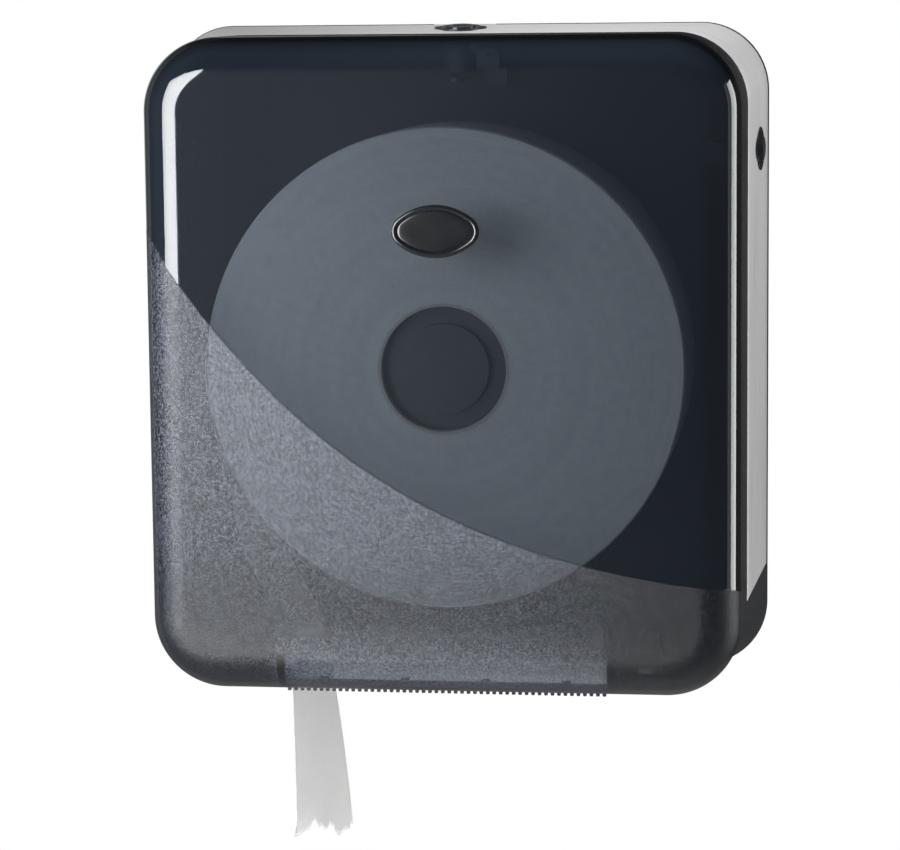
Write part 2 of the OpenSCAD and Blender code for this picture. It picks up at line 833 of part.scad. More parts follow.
module tear_bar() {
    half = mouth_w / 2 - slip;
    tip_z = -cover_h / 2 - tooth_out;
    root_z = -cover_h / 2 - tooth_root;
    color([0.10, 0.10, 0.11]) difference() {
        union() {
            intersection() {
                block(-half, half, blade_back, bar_front, floor_z, floor_z + bar_t);
                union() {
                    block(-half, half, 0, edge_back, floor_z, 0);
                    bar_x(2 * (edge_r - cover_t - slip), -half, half, edge_back, edge_r - cover_h / 2);
                }
            }
            block(-half, half, blade_back, blade_front, root_z, floor_z + slip);
            forward(blade_back, blade_front) for (i = [0 : teeth - 1])
                translate([(i + 0.5 - teeth / 2) * tooth_pitch * (1 - slip / half), 0])
                    polygon([[-0.34 * tooth_pitch, root_z + slip], [0.34 * tooth_pitch, root_z + slip],
                        [0.22 * tooth_pitch, tip_z], [-0.22 * tooth_pitch, tip_z]]);
        }
        at_bar_screws() translate([0, 0, -cut]) cylinder(d = small_screw_d + 2 * slip, h = bar_t + 2 * cut,
            $fn = round_fn);
    }
}

module tear_bar_screws() {
    color([0.62, 0.63, 0.65]) at_bar_screws() {
        translate([0, 0, -cover_t + 0.4]) cylinder(d = small_screw_d, h = cover_t - 0.4 + bar_t,
            $fn = round_fn);
        translate([0, 0, bar_t]) cylinder(d = small_head_d, h = small_head_t, $fn = round_fn);
    }
}

// ---------- Badge ----------

module badge_bezel() {
    color([0.06, 0.06, 0.07]) translate([0, 0, badge_z]) difference() {
        forward(cover_front, cover_front + badge_rim_t) oval(badge_l, badge_h, badge_end_r);
        forward(cover_front - cut, cover_front + badge_rim_t + cut)
            oval(badge_l - 2 * badge_rim, badge_h - 2 * badge_rim, badge_end_r - badge_rim);
    }
}

module badge_plate() {
    inset = badge_rim + slip;
    color([0.06, 0.06, 0.07]) translate([0, 0, badge_z]) forward(cover_front, cover_front + badge_t)
        oval(badge_l - 2 * inset, badge_h - 2 * inset, badge_end_r - inset);
}

// ---------- Roll ----------

module hub_sleeve() {
    ring_d = core_id - 2 * slip;
    bore_d = spindle_d + 2 * run;
    color([0.18, 0.18, 0.19]) translate([0, 0, axis_z]) difference() {
        union() {
            difference() {
                union() {
                    bar_y(hub_flange_d, hub_back, hub_back + hub_flange_t);
                    bar_y(ring_d, hub_back, hub_front);
                }
                bar_y(ring_d - 2 * hub_ring_t, hub_back + hub_flange_t, hub_front - hub_web_t);
            }
            bar_y(bore_d + 2 * hub_tube_t, hub_back, hub_front);
            for (i = [0 : hub_ribs - 1]) rotate([0, i * 360 / hub_ribs, 0])
                block(bore_d / 2 + 1, ring_d / 2 - 1, hub_back + cut, hub_front - cut, -rib_t / 2, rib_t / 2);
        }
        bar_y(bore_d, hub_back - cut, hub_front + cut);
    }
}

module core_tube() {
    color([0.62, 0.55, 0.46]) translate([0, 0, axis_z]) difference() {
        bar_y(core_od, roll_back, roll_front);
        bar_y(core_id, roll_back - cut, roll_front + cut);
    }
}

module paper_roll() {
    color([0.93, 0.93, 0.92]) translate([0, 0, axis_z]) difference() {
        bar_y(roll_d, roll_back, roll_front);
        bar_y(core_od + 2 * run, roll_back - cut, roll_front + cut);
    }
}

// The loose end leaves the roll on the left, leans in to the mouth and hangs straight down from there
module tail_outline() {
    overlap = 0.5;
    lean_top = [-tail_r * cos(tail_lean) - overlap * sin(tail_lean),
        axis_z - tail_r * sin(tail_lean) + overlap * cos(tail_lean)];
    side = tail_t * [-cos(tail_lean), -sin(tail_lean)];
    bend = [-tail_x, tail_bend_z];
    tip = [-tail_x, -cover_h / 2 - tail_out];
    polygon([lean_top, lean_top + side, bend - [tail_t, 0], tip - [tail_t, 0], tip, bend]);
    translate([0, axis_z]) intersection() {
        difference() {
            circle(tail_r + tail_t, $fn = 4 * round_fn);
            circle(tail_r, $fn = 4 * round_fn);
        }
        rotate(180 + tail_lean - tail_wrap) square(roll_d);
        rotate(90 + tail_lean) square(roll_d);
    }
}

module paper_tail() {
    color([0.93, 0.93, 0.92]) forward(roll_back, roll_front) tail_outline();
}

rear_housing();
trim_band();
spindle();
spindle_screws();
spindle_cap();
lock_housing();
lock_nut();
on_side(-1) button_bezel();  // button_bezel_left
on_side(1) button_bezel();  // button_bezel_right
on_side(-1) button_spring();  // button_spring_left
on_side(1) button_spring();  // button_spring_right
on_side(-1) hinge_pin();  // hinge_pin_left
on_side(1) hinge_pin();  // hinge_pin_right
front_cover();
tear_bar();
tear_bar_screws();
badge_bezel();
badge_plate();
cover_strike();
strike_screws();
on_side(-1) cover_catch();  // cover_catch_left
on_side(1) cover_catch();  // cover_catch_right
lock_barrel();
lock_cam();
cam_screw();
on_side(-1) release_button();  // release_button_left
on_side(1) release_button();  // release_button_right
hub_sleeve();
core_tube();
paper_roll();
paper_tail();
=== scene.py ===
import math

import bmesh
import bpy
from mathutils import Matrix, Vector, noise


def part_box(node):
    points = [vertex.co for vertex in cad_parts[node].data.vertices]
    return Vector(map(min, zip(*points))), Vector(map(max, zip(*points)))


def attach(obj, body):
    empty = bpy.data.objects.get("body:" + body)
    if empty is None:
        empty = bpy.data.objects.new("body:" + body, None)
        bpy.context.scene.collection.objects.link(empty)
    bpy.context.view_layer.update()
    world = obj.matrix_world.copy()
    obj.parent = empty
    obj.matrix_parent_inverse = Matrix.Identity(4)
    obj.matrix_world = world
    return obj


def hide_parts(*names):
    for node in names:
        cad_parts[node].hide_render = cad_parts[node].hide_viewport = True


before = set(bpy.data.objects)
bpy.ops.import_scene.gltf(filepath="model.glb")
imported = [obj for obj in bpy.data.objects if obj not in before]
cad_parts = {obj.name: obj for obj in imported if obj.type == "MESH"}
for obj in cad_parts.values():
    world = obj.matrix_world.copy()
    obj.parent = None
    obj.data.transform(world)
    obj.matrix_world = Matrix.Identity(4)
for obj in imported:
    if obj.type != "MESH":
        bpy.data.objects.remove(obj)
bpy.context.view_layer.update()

bl_info = {
    "name": "Jumbo roll dispenser",
    "version": (1, 0, 0),
    "blender": (4, 5, 0),
    "location": "3D View > Sidebar > Dispenser",
    "description": "Smoked cover, brushed band, wound roll, hanging paper and studio for a wall dispenser",
    "category": "Object",
}

# Places that the pieces share, in metres. Depths are measured from the wall, along -Y.
RIM_HALF = (0.175, 0.187)
RIM_CORNER = 0.0385
SIDE_FLARE, TOP_FLARE, CORNER_FLARE = 0.25, 0.125, -0.0625
BAND_BACK, BAND_FRONT = 0.0021, 0.0399
AXIS_Z = -0.002                                  # the roll's axis
LOCK = Vector((0.0, -0.020, 0.1845))
LOCK_LEAN = math.radians(7.125)
BUTTON_X, BUTTON_DEPTH, BUTTON_Z = 0.1705, 0.018, 0.1155
LOCK_HOLE, BUTTON_HOLE = 0.0111, 0.00765         # radii of the holes in the band
HINGE_DEPTH, HINGE_Z, LUG_X = 0.058, -0.172, 0.108
LUG_SLOT_HALF, LUG_SLOT_FRONT = 0.0048, 0.066    # slots in the cover for the housing's hinge lugs
EAR_NEAR, EAR_FAR = 0.0044, 0.0094               # how far a hinge ear's sides are from its lug's middle
RELIEF_FRONT = 0.0425                            # the cover's back edge along the bottom, clear of the hinge
CHEEK_WIDE, CHEEK_BACK, CHEEK_FRONT, CHEEK_HIGH = 0.0035, 0.062, 0.112, 0.020      # beside the mouth
STRIKE_PAD = (0.0115, 0.0265, 0.0456, 0.0656, 0.1735)      # its sides, its depths and its lower face
FLOOR_Z = -0.1795                                # the top of the cover's floor
HOUSING_DEPTH = 0.040
BAND_END_BACK, BAND_END_FRONT = 0.125, 0.142     # how far below the middle the band ends
TAB_HALF = 0.018                                 # half the width of the band's tab under the lock plate

# The frosted zone's upper edge on the cover's front is an exponential on a slope: z = BASE + SLOPE * x
# + RISE * exp(-x / REACH). Behind EDGE_DEPTH it climbs again along the rounded edge by EDGE_CLIMB.
FROST_BASE, FROST_SLOPE, FROST_RISE, FROST_REACH = -0.1829, 0.1505, 0.10424, 0.1625
EDGE_DEPTH, EDGE_CLIMB = 0.124, 0.17

# The camera: its place, its yaw, pitch and roll in degrees, and its focal length in picture widths,
# which is its length over the picture's width, both in pixels.
CAMERA_PLACE = (0.24973, -1.84645, 0.20105)
CAMERA_TURN = (-8.0448, 7.5742, -0.5630)
CAMERA_REACH = 3199.8 / 900
SENSOR = 36.0            # width of the camera's sensor in millimetres


# ---------- Settings ----------

def distance(name, description, metres):
    return bpy.props.FloatProperty(name=name, description=description, default=metres, unit="LENGTH")


def opacity(name, description, value):
    return bpy.props.FloatProperty(name=name, description=description, default=value, min=0, max=1)


def swatch(name, description, colour):
    return bpy.props.FloatVectorProperty(name=name, description=description, default=colour, subtype="COLOR")


class DispenserSizes(bpy.types.PropertyGroup):
    """Sizes of the dressed pieces"""
    cover_width: distance("Cover width", "Width of the see-through cover", 0.330)
    cover_height: distance("Cover height", "Height of the see-through cover", 0.364)
    cover_corner: distance("Corner radius", "Radius of the cover's corners from the front", 0.041)
    cover_edge: distance("Edge radius", "Radius of the rounded front edge", 0.022)
    cover_wall: distance("Cover wall", "Thickness of the cover", 0.0025)
    seam_depth: distance("Seam depth", "Distance from the wall to the cover's back edge", 0.0406)
    front_depth: distance("Front depth", "Distance from the wall to the cover's front", 0.130)
    mouth_half: distance("Half mouth", "Half the width of the paper mouth", 0.091)
    mouth_front: distance("Mouth front", "Depth of the mouth's front edge", 0.1065)
    tooth_count: bpy.props.IntProperty(
        name="Teeth", description="Number of teeth on the tear bar", default=50, min=2)
    roll_radius: distance("Roll radius", "Radius of the paper roll", 0.134)
    roll_back: distance("Roll back", "Depth of the roll's back face", 0.014)
    paper_width: distance("Paper width", "Width of the paper", 0.090)
    paper_length: distance("Loose paper", "Flat length of the loose end, from roll to torn tip", 0.304)
    badge_length: distance("Badge length", "Length of the oval badge", 0.048)
    badge_height: distance("Badge height", "Height of the oval badge", 0.029)


class DispenserColours(bpy.types.PropertyGroup):
    """Colours and densities of the finishes"""
    smoke: swatch("Smoke", "Tint of the clear plastic", (0.020, 0.028, 0.041))
    smoke_density: opacity("Smoke density", "How much each face of the clear front hides", 0.37)
    smoke_sides: opacity("Side density", "How much each face of the cover's sides hides", 0.88)
    smoke_glass: swatch("Smoke filter", "Colour that one face lets through", (0.93, 0.965, 1.0))
    frost: swatch("Frost", "Tint of the frosted zone", (0.052, 0.059, 0.076))
    frost_density: opacity("Frost density", "How much each face of the frosted zone hides", 0.425)
    band: swatch("Band", "Brushed band", (0.60, 0.60, 0.605))
    housing: swatch("Housing", "Black moulded plastic", (0.022, 0.023, 0.026))
    gloss: swatch("Gloss black", "Badge and lock plate", (0.014, 0.016, 0.019))
    steel: swatch("Steel", "Screws, springs and pins", (0.52, 0.53, 0.55))
    paper: swatch("Paper", "Tissue paper", (0.82, 0.82, 0.815))
    board: swatch("Board", "Cardboard core", (0.50, 0.46, 0.41))


def sizes():
    return bpy.context.scene.dispenser_sizes


def colours():
    return bpy.context.scene.dispenser_colours


# ---------- Shader building ----------

def add_node(tree, kind, settings=None, values=None):
    """Adds a node to a tree: its type, its settings, then the values or links of its sockets."""
    node = tree.nodes.new(kind)
    for key, value in (settings or {}).items():
        setattr(node, key, value)
    for key, value in (values or {}).items():
        slot = node.inputs[key]
        value = value.socket if isinstance(value, Num) else value
        if isinstance(value, bpy.types.NodeSocket):
            tree.links.new(value, slot)
        elif hasattr(slot.default_value, "__len__") and len(slot.default_value) == 4 and len(value) == 3:
            slot.default_value = (*value, 1.0)
        else:
            slot.default_value = value
    return node


def math_method(operation, reverse=False):
    """A method that adds a Math node for one operation. reverse puts the other operand first."""
    def method(self, *others):
        return self.calc(operation, *((*others, self) if reverse else (self, *others)))
    return method


class Num:
    """A number that varies over a surface. Arithmetic on it adds Math nodes."""

    def __init__(self, finish, socket):
        self.finish, self.socket = finish, socket

    def calc(self, operation, *values):
        node = self.finish.add("Math", {"operation": operation}, dict(enumerate(values)))
        return Num(self.finish, node.outputs[0])

    def __neg__(self):
        return self * -1.0

    __add__ = math_method("ADD")
    __radd__ = math_method("ADD", reverse=True)
    __sub__ = math_method("SUBTRACT")
    __rsub__ = math_method("SUBTRACT", reverse=True)
    __mul__ = math_method("MULTIPLY")
    __truediv__ = math_method("DIVIDE")
    exp = math_method("EXPONENT")
    absolute = math_method("ABSOLUTE")
    fraction = math_method("FRACT")
    power = math_method("POWER")
    at_least = math_method("MAXIMUM")
    at_most = math_method("MINIMUM")
    angle_over = math_method("ARCTAN2")      # y.angle_over(x) is the angle of (x, y) about the origin

    def step(self, low, high):
        """0 below low, 1 above high, smooth between."""
        node = self.finish.add("MapRange", {"interpolation_type": "SMOOTHSTEP"},
                               {"Value": self, "From Min": low, "From Max": high})
        return Num(self.finish, node.outputs[0])


class Shading:
    """The nodes of a material or of the world."""

    def __init__(self, owner):
        owner.use_nodes = True
        self.tree = owner.node_tree
        self.tree.nodes.clear()

    def add(self, kind, settings=None, values=None):
        return add_node(self.tree, "ShaderNode" + kind, settings, values)

    def place(self, kind="Object"):
        """The point being shaded, as a vector socket."""
        return self.add("TexCoord").outputs[kind]

    def uv(self, name):
        return self.add("UVMap", {"uv_map": name}).outputs[0]

    def split(self, vector):
        node = self.add("SeparateXYZ", None, {0: vector})
        return [Num(self, node.outputs[i]) for i in range(3)]

    def join(self, x, y, z):
        return self.add("CombineXYZ", None, {0: x, 1: y, 2: z}).outputs[0]


class Finish(Shading):
    """One procedural material."""

    def __init__(self, name):
        self.material = bpy.data.materials.new(name)
        super().__init__(self.material)
        self.output = self.add("OutputMaterial")

    def stretch(self, vector, scale):
        return self.add("Mapping", None, {"Vector": vector, "Scale": scale}).outputs[0]

    def cloud(self, vector, scale, detail=2.0, roughness=0.5, distortion=0.0):
        """Fractal noise from about 0 to 1."""
        node = self.add("TexNoise", None, {"Vector": vector, "Scale": scale, "Detail": detail,
                                           "Roughness": roughness, "Distortion": distortion})
        return Num(self, node.outputs[0])

    def blend(self, share, first, second):
        """A colour between two others."""
        node = self.add("Mix", {"data_type": "RGBA"}, {0: share, 6: first, 7: second})
        return node.outputs[2]

    def shades(self, share, colour, first, second):
        """A colour between two shades of one colour."""
        return self.blend(share, shade_of(colour, first), shade_of(colour, second))

    def relief(self, height, depth, strength=1.0):
        """A bumped normal. depth is the height's scale in metres."""
        return self.add("Bump", None, {"Height": height, "Distance": depth, "Strength": strength}).outputs[0]

    def surface(self, density=None, tint=None, **values):
        """The shader. Names are socket names with _ for a space.
        A tint shows through where density is low."""
        node = self.add("BsdfPrincipled", None, {key.replace("_", " "): v for key, v in values.items()})
        if tint is not None:
            glass = self.add("BsdfTransparent", None, {"Color": tint})
            node = self.add("MixShader", None, {0: density, 1: glass.outputs[0], 2: node.outputs[0]})
        self.tree.links.new(node.outputs[0], self.output.inputs[0])
        return self.material


FINISHES = {}


def shade_of(colour, share):
    """A colour made darker or lighter."""
    return [share * v for v in colour]


def finish(name):
    if name not in FINISHES:
        FINISHES[name] = FINISH_MAKERS[name]()
    return FINISHES[name]


def smoked_plastic():
    """Smoked plastic, clear above a falling curve and frosted below it, denser at the sides than in front."""
    c = colours()
    f = Finish("Smoked plastic")
    place = f.place()
    x, y, z = f.split(place)
    # The frosted zone ends in a slightly wavy edge, with a thin lip above it.
    wander = f.cloud(place, 900.0, 1.0) * 0.0008 - 0.0004
    curve = (x / -FROST_REACH).exp() * FROST_RISE + x * FROST_SLOPE + FROST_BASE
    over = z - (curve - (y + EDGE_DEPTH).at_least(0.0) * EDGE_CLIMB)
    frosted = (wander - over).step(-0.0003, 0.0003)
    lip = over.step(0.0000, 0.0003) * over.step(0.0010, 0.0005)
    grain = f.cloud(place, 820.0, 3.0, 0.75)
    specks = f.cloud(place, 1300.0, 1.0, 0.5)
    haze = f.cloud(place, 9.0, 2.0)
    scuff = f.cloud(f.stretch(place, (40.0, 40.0, 400.0)), 1.0, 2.0)
    # Zones: side is all that lies behind the front face, flank the walls behind the rounded edge, mouth the
    # width of the paper mouth, low the bottom of the frosted zone, and cheek the two walls beside the mouth.
    side = (-y).step(0.1265, 0.1170)
    flank = (-y).step(0.1120, 0.1060)
    mouth = x.absolute().step(0.098, 0.088)
    low = z.step(-0.134, -0.168) * frosted
    cheek = (x.absolute().step(0.0906, 0.0910) * x.absolute().step(0.0949, 0.0945)
             * (-y).step(0.1135, 0.1125) * z.step(-0.1590, -0.1594))
    # Soft dark bars painted on the front at the ends of the mouth, as painted shadows of the cheeks behind
    # it.
    cheek_shadow_bars = (x + 0.0896).absolute().step(0.0030, 0.0016) + (x - 0.0950).absolute().step(0.0030, 0.0016)
    shade = cheek_shadow_bars * z.step(-0.1565, -0.1605) * (-y).step(0.1110, 0.1160)
    # How much each face hides.
    front = frosted * (c.frost_density - 0.05 + haze * 0.05 + grain * 0.10) + (1 - frosted) * c.smoke_density
    front = front + low * (0.84 - mouth * z.step(-0.158, -0.176) * 0.22 - front)
    front = front + lip * 0.10 + shade * (0.93 - front)
    front = front + side * (c.smoke_sides - front)
    # How bright the grain is, with painted shade: darker towards the bottom, the sides and the right, as if
    # lit from the left, and with painted light over the mouth in the low zone.
    level = grain.step(0.44, 0.61)
    level = level + z.step(-0.130, -0.160) * (0.38 - level) * 0.5
    level = level * (1.0 + low * (mouth * 0.78 - 0.70)) * (1 - shade)
    level = level * (1 - side * 0.88) * (1 - x.step(0.02, 0.14) * 0.6)
    level = level * (1 - z.step(-0.09, -0.13) * (1 - mouth * low * 0.8) * 0.35)
    frost = f.shades(level, c.frost, 0.10, 4.4)
    # Painted shade: the clear smoke on the sides is darkened to a tenth.
    smoke_with_painted_shade = f.blend(frosted, f.blend(side, c.smoke, shade_of(c.smoke, 0.10)), frost)
    return f.surface(
        density=front + cheek * (0.96 - front), tint=c.smoke_glass,
        Base_Color=f.blend((lip * 0.3 + cheek).at_most(1.0), smoke_with_painted_shade, shade_of(c.smoke, 0.20)),
        Roughness=frosted * (0.26 + grain * 0.12) + (1 - frosted) * (0.030 + scuff * 0.02) + flank * 0.45,
        Specular_IOR_Level=0.46, Coat_Weight=(1 - frosted) * (1 - flank), Coat_Roughness=0.03,
        Normal=f.relief((grain + specks * 0.5) * frosted, 0.00030))


def brushed_silver():
    """Silver, brushed along its length."""
    f = Finish("Brushed silver")
    along = f.uv("Along")
    fine = f.cloud(f.stretch(along, (6.0, 2600.0, 1.0)), 1.0, 3.0, 0.6)
    broad = f.cloud(f.stretch(along, (14.0, 500.0, 1.0)), 1.0, 2.0, 0.5)
    share = (fine * 0.6 + broad * 0.4).step(0.25, 0.75)
    c = colours().band
    return f.surface(
        Base_Color=f.shades(share, c, 0.86, 1.10),
        Metallic=0.45, Roughness=0.34 + fine * 0.16,
        Normal=f.relief(fine, 0.00006, 0.6))


def moulded(name, tint, rough, grain_scale=1400.0, grain_depth=0.00006, shine=0.5):
    """Moulded plastic with a fine texture and faint flow marks."""
    f = Finish(name)
    place = f.place()
    grain = f.cloud(place, grain_scale, 2.0, 0.6)
    flow = f.cloud(f.stretch(place, (9.0, 9.0, 22.0)), 1.0, 3.0)
    wear = f.cloud(place, 55.0, 4.0, 0.6)
    return f.surface(
        Base_Color=f.shades(flow.step(0.3, 0.7), tint, 0.88, 1.18),
        Roughness=rough - 0.05 + wear * 0.10, Specular_IOR_Level=shine, Normal=f.relief(grain, grain_depth))


def housing_black():
    return moulded("Housing plastic", colours().housing, 0.55, shine=0.12)


def gloss_black():
    """Polished where it shows outside, duller behind the cover."""
    c = colours().gloss
    f = Finish("Gloss black plastic")
    place = f.place()
    x, y, z = f.split(place)
    inside = z.step(0.1845, 0.1825) * (-y).step(0.128, 0.126) * x.absolute().step(0.168, 0.166)
    wear = f.cloud(place, 55.0, 4.0, 0.6)
    return f.surface(
        Base_Color=f.shades(wear.step(0.3, 0.7), c, 0.88, 1.18),
        Roughness=0.09 + wear * 0.08 + inside * 0.6, Normal=f.relief(wear, 0.00002))


def spindle_grey():
    return moulded("Spindle plastic", (0.019, 0.020, 0.023), 0.36, 1100.0)


def tooth_black():
    return moulded("Tear bar plastic", (0.016, 0.017, 0.019), 0.40, 1600.0)


def blackened_steel():
    """Stamped steel with a dark oxide coat, a little worn."""
    f = Finish("Blackened steel")
    place = f.place()
    coat = f.cloud(place, 260.0, 4.0, 0.6)
    return f.surface(
        Base_Color=f.blend(coat.step(0.45, 0.8), (0.014, 0.015, 0.017), (0.040, 0.041, 0.044)),
        Metallic=0.3, Roughness=0.50 + coat * 0.12, Normal=f.relief(coat, 0.00004))


def turned_steel():
    """Machined metal with fine rings, a little stained."""
    f = Finish("Steel")
    place = f.place()
    rings = f.cloud(f.stretch(place, (900.0, 250.0, 900.0)), 1.0, 2.0)
    stain = f.cloud(place, 120.0, 3.0)
    c = colours().steel
    return f.surface(
        Base_Color=f.shades(stain.step(0.3, 0.75), c, 0.85, 1.08),
        Metallic=1.0, Roughness=0.24 + rings * 0.16, Normal=f.relief(rings, 0.00003, 0.5))


def tissue():
    """Soft two-ply tissue with a diagonal pattern of pressed dots."""
    f = Finish("Tissue paper")
    sheet = f.uv("Paper")
    u, v, _ = f.split(sheet)
    pitch = 0.0021           # from one dot to the next
    across = ((u + v) / pitch).fraction() - 0.5
    down = ((u - v) / pitch).fraction() - 0.5
    dots = (across * across + down * down).step(0.02, 0.10)
    fibre = f.cloud(f.stretch(sheet, (1.0, 0.35, 1.0)), 1900.0, 4.0, 0.65)
    crepe = f.cloud(f.stretch(sheet, (120.0, 1500.0, 1.0)), 1.0, 2.0)
    cloudy = f.cloud(sheet, 45.0, 3.0)
    painted_cover_shade = f.split(f.place())[2].step(-0.186, -0.172)      # painted shade: darker from the cover's lower edge up, where the cover hangs over it
    c = colours().paper
    pale = (cloudy * 0.3 + fibre * 0.35 + dots * 0.35).step(0.25, 0.80)
    return f.surface(
        Base_Color=f.blend(painted_cover_shade, f.shades(pale, c, 0.90, 1.04), shade_of(c, 0.27)),
        Roughness=0.92,
        Normal=f.relief(dots * 0.7 + fibre * 0.35 + crepe * 0.25, 0.00035))


def wound_paper():
    """Side and rim of a wound roll: fine layers, broader bands and radial creases."""
    f = Finish("Wound paper")
    place = f.place()
    x, y, z = f.split(place)
    up = z - AXIS_Z
    radius = (x * x + up * up).power(0.5)
    turn = up.angle_over(x)
    wobble = f.cloud(place, 16.0, 2.0) * 0.006
    layers = f.cloud(f.join(radius + wobble, turn * 0.004, 0.0), 1300.0, 3.0, 0.6)
    bands = f.cloud(f.join(radius + wobble, 0.0, 0.0), 130.0, 2.0)
    rays = f.cloud(f.join(turn * 2.2, radius * 14.0, 0.0), 9.0, 3.0, 0.6, 0.4)
    c = colours().paper
    pale = (layers * 0.30 + bands * 0.35 + rays * 0.35).step(0.28, 0.70)
    return f.surface(
        Base_Color=f.shades(pale, c, 0.68, 0.83),
        Roughness=0.93,
        Normal=f.relief(layers * 0.5 + rays * 0.5, 0.0006))


def cardboard():
    """Spiral-wound board with an open seam and short fibres."""
    f = Finish("Cardboard")
    place = f.place()
    x, y, z = f.split(place)
    helix_pitch = 0.062
    helix = ((z - AXIS_Z).angle_over(x) / (2 * math.pi) + y / helix_pitch).fraction()
    seam = (helix - 0.5).absolute().step(0.012, 0.0)
    fibre = f.cloud(f.stretch(place, (1.0, 0.4, 1.0)), 900.0, 5.0, 0.7)
    blotch = f.cloud(place, 70.0, 3.0)
    c = colours().board
    base = f.shades((fibre * 0.6 + blotch * 0.4).step(0.25, 0.75), c, 0.78, 1.15)
    return f.surface(
        Base_Color=f.blend(seam * 0.6, base, shade_of(c, 0.45)),
        Roughness=0.88, Normal=f.relief(fibre * 0.4 - seam, 0.00020))


def pale_floor():
    f = Finish("Studio floor")
    place = f.place()
    shade = f.cloud(place, 3.0, 2.0)
    return f.surface(
        Base_Color=f.blend(shade, (0.78, 0.78, 0.78), (0.82, 0.82, 0.82)), Roughness=0.6 + shade * 0.1)


FINISH_MAKERS = {
    "smoke_clear": smoked_plastic, "band_silver": brushed_silver, "housing_black": housing_black,
    "gloss_black": gloss_black, "spindle_grey": spindle_grey, "tooth_black": tooth_black,
    "steel": turned_steel, "dark_steel": blackened_steel, "tissue": tissue, "wound": wound_paper,
    "cardboard": cardboard, "floor": pale_floor,
}


# ---------- Mesh building ----------

def new_piece(name, solid, finish_name, body, smooth, uvs=None):
    """A mesh piece that rides on a body, where one is given. smooth is the angle in degrees above which
    an edge stays sharp, and uvs is (map name, one pair for each vertex)."""
    mesh = solid.mesh(name)
    if uvs:
        layer = mesh.uv_layers.new(name=uvs[0])
        for loop in mesh.loops:
            layer.data[loop.index].uv = uvs[1][loop.vertex_index]
    bm = bmesh.new()
    bm.from_mesh(mesh)
    bmesh.ops.delete(bm, geom=[v for v in bm.verts if not v.link_faces], context="VERTS")
    bm.to_mesh(mesh)
    bm.free()
    mesh.validate()
    piece = bpy.data.objects.new(name, mesh)
    bpy.context.scene.collection.objects.link(piece)
    mesh.materials.append(finish(finish_name))
    round_off(mesh, smooth)
    if body:
        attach(piece, body)
    return piece


def round_off(mesh, degrees):
    mesh.shade_smooth()
    mesh.set_sharp_from_angle(angle=math.radians(degrees))


def face_outwards(mesh):
    """Turns every face of a closed mesh outwards."""
    bm = bmesh.new()
    bm.from_mesh(mesh)
    bmesh.ops.recalc_face_normals(bm, faces=bm.faces)
    bm.to_mesh(mesh)
    bm.free()


def evaluated_mesh(piece):
    """The mesh that a piece's modifiers make, as a plain mesh."""
    graph = bpy.context.evaluated_depsgraph_get()
    return bpy.data.meshes.new_from_object(piece.evaluated_get(graph))


def bake_modifiers(piece):
    """Puts what the modifiers make in place of the piece's own mesh."""
    made = evaluated_mesh(piece)
    piece.modifiers.clear()
    old, piece.data = piece.data, made
    bpy.data.meshes.remove(old)
    made.name = piece.name


class Solid:
    """Vertices and faces of one piece, gathered from one or more shapes."""

    def __init__(self):
        self.verts, self.faces = [], []

    def mesh(self, name):
        mesh = bpy.data.meshes.new(name)
        mesh.from_pydata([tuple(v) for v in self.verts], [], [tuple(f) for f in self.faces])
        return mesh

    def put(self, verts, faces):
        start = len(self.verts)
        self.verts += verts
        self.faces += [[start + i for i in face] for face in faces]

    def sweep(self, rings, joined=False):
        """Rings of equal count joined one to the next, each anticlockwise about the way it advances.
        The ends are capped, or joined to each other."""
        n, last = len(rings[0]), len(rings) - 1
        faces = []
        for j in range(last + joined):
            a, b = j * n, (j + 1) % len(rings) * n
            faces += [(a + i, a + (i + 1) % n, b + (i + 1) % n, b + i) for i in range(n)]
        if not joined:
            faces += [tuple(range(n))[::-1], tuple(last * n + i for i in range(n))]
        self.put([v for ring in rings for v in ring], faces)

    def block(self, x0, x1, d0, d1, z0, z1, bevel=0.0004):
        """A box with softened edges, given by its limits."""
        bm = bmesh.new()
        size = Vector((x1 - x0, d1 - d0, z1 - z0))
        middle = Vector(((x0 + x1) / 2, -(d0 + d1) / 2, (z0 + z1) / 2))
        bmesh.ops.create_cube(bm, size=1.0, matrix=Matrix.Translation(middle) @ Matrix.Diagonal((*size, 1.0)))
        bmesh.ops.bevel(bm, geom=bm.edges[:], offset=bevel, segments=2, affect="EDGES", profile=0.5)
        bm.verts.index_update()
        self.put([v.co.copy() for v in bm.verts], [[v.index for v in f.verts] for f in bm.faces])
        bm.free()


def rounded_stations(half_w, half_h, corner, bottom_marks=(), corner_steps=22, corner_marks=()):
    """Points of a rounded rectangle as (corner centre, direction), anticlockwise as seen from the front
    and starting at the bottom left. A point drawn in by an inset is centre + (corner - inset) * direction."""
    a, b = half_w - corner, half_h - corner
    marks = sorted(set([-a, a, *bottom_marks]))
    out = [(x, -b, 0.0, -1.0) for x in marks[:-1]]

    def arc(cx, cz, start):
        angles = sorted(set([start + 90.0 * k / corner_steps for k in range(corner_steps + 1)]
                            + [m for m in corner_marks if start < m < start + 90]))
        return [(cx, cz, math.cos(math.radians(t)), math.sin(math.radians(t))) for t in angles]

    out += arc(a, -b, -90.0)
    out += [(a, z, 1.0, 0.0) for z in (-b / 2, 0.0, b / 2)]
    out += arc(a, b, 0.0)
    out += [(x, b, 0.0, 1.0) for x in (a / 2, 0.0, -a / 2)]
    out += arc(-a, b, 90.0)
    out += [(-a, z, -1.0, 0.0) for z in (b / 2, 0.0, -b / 2)]
    out += arc(-a, -b, 180.0)[:-1]
    return out


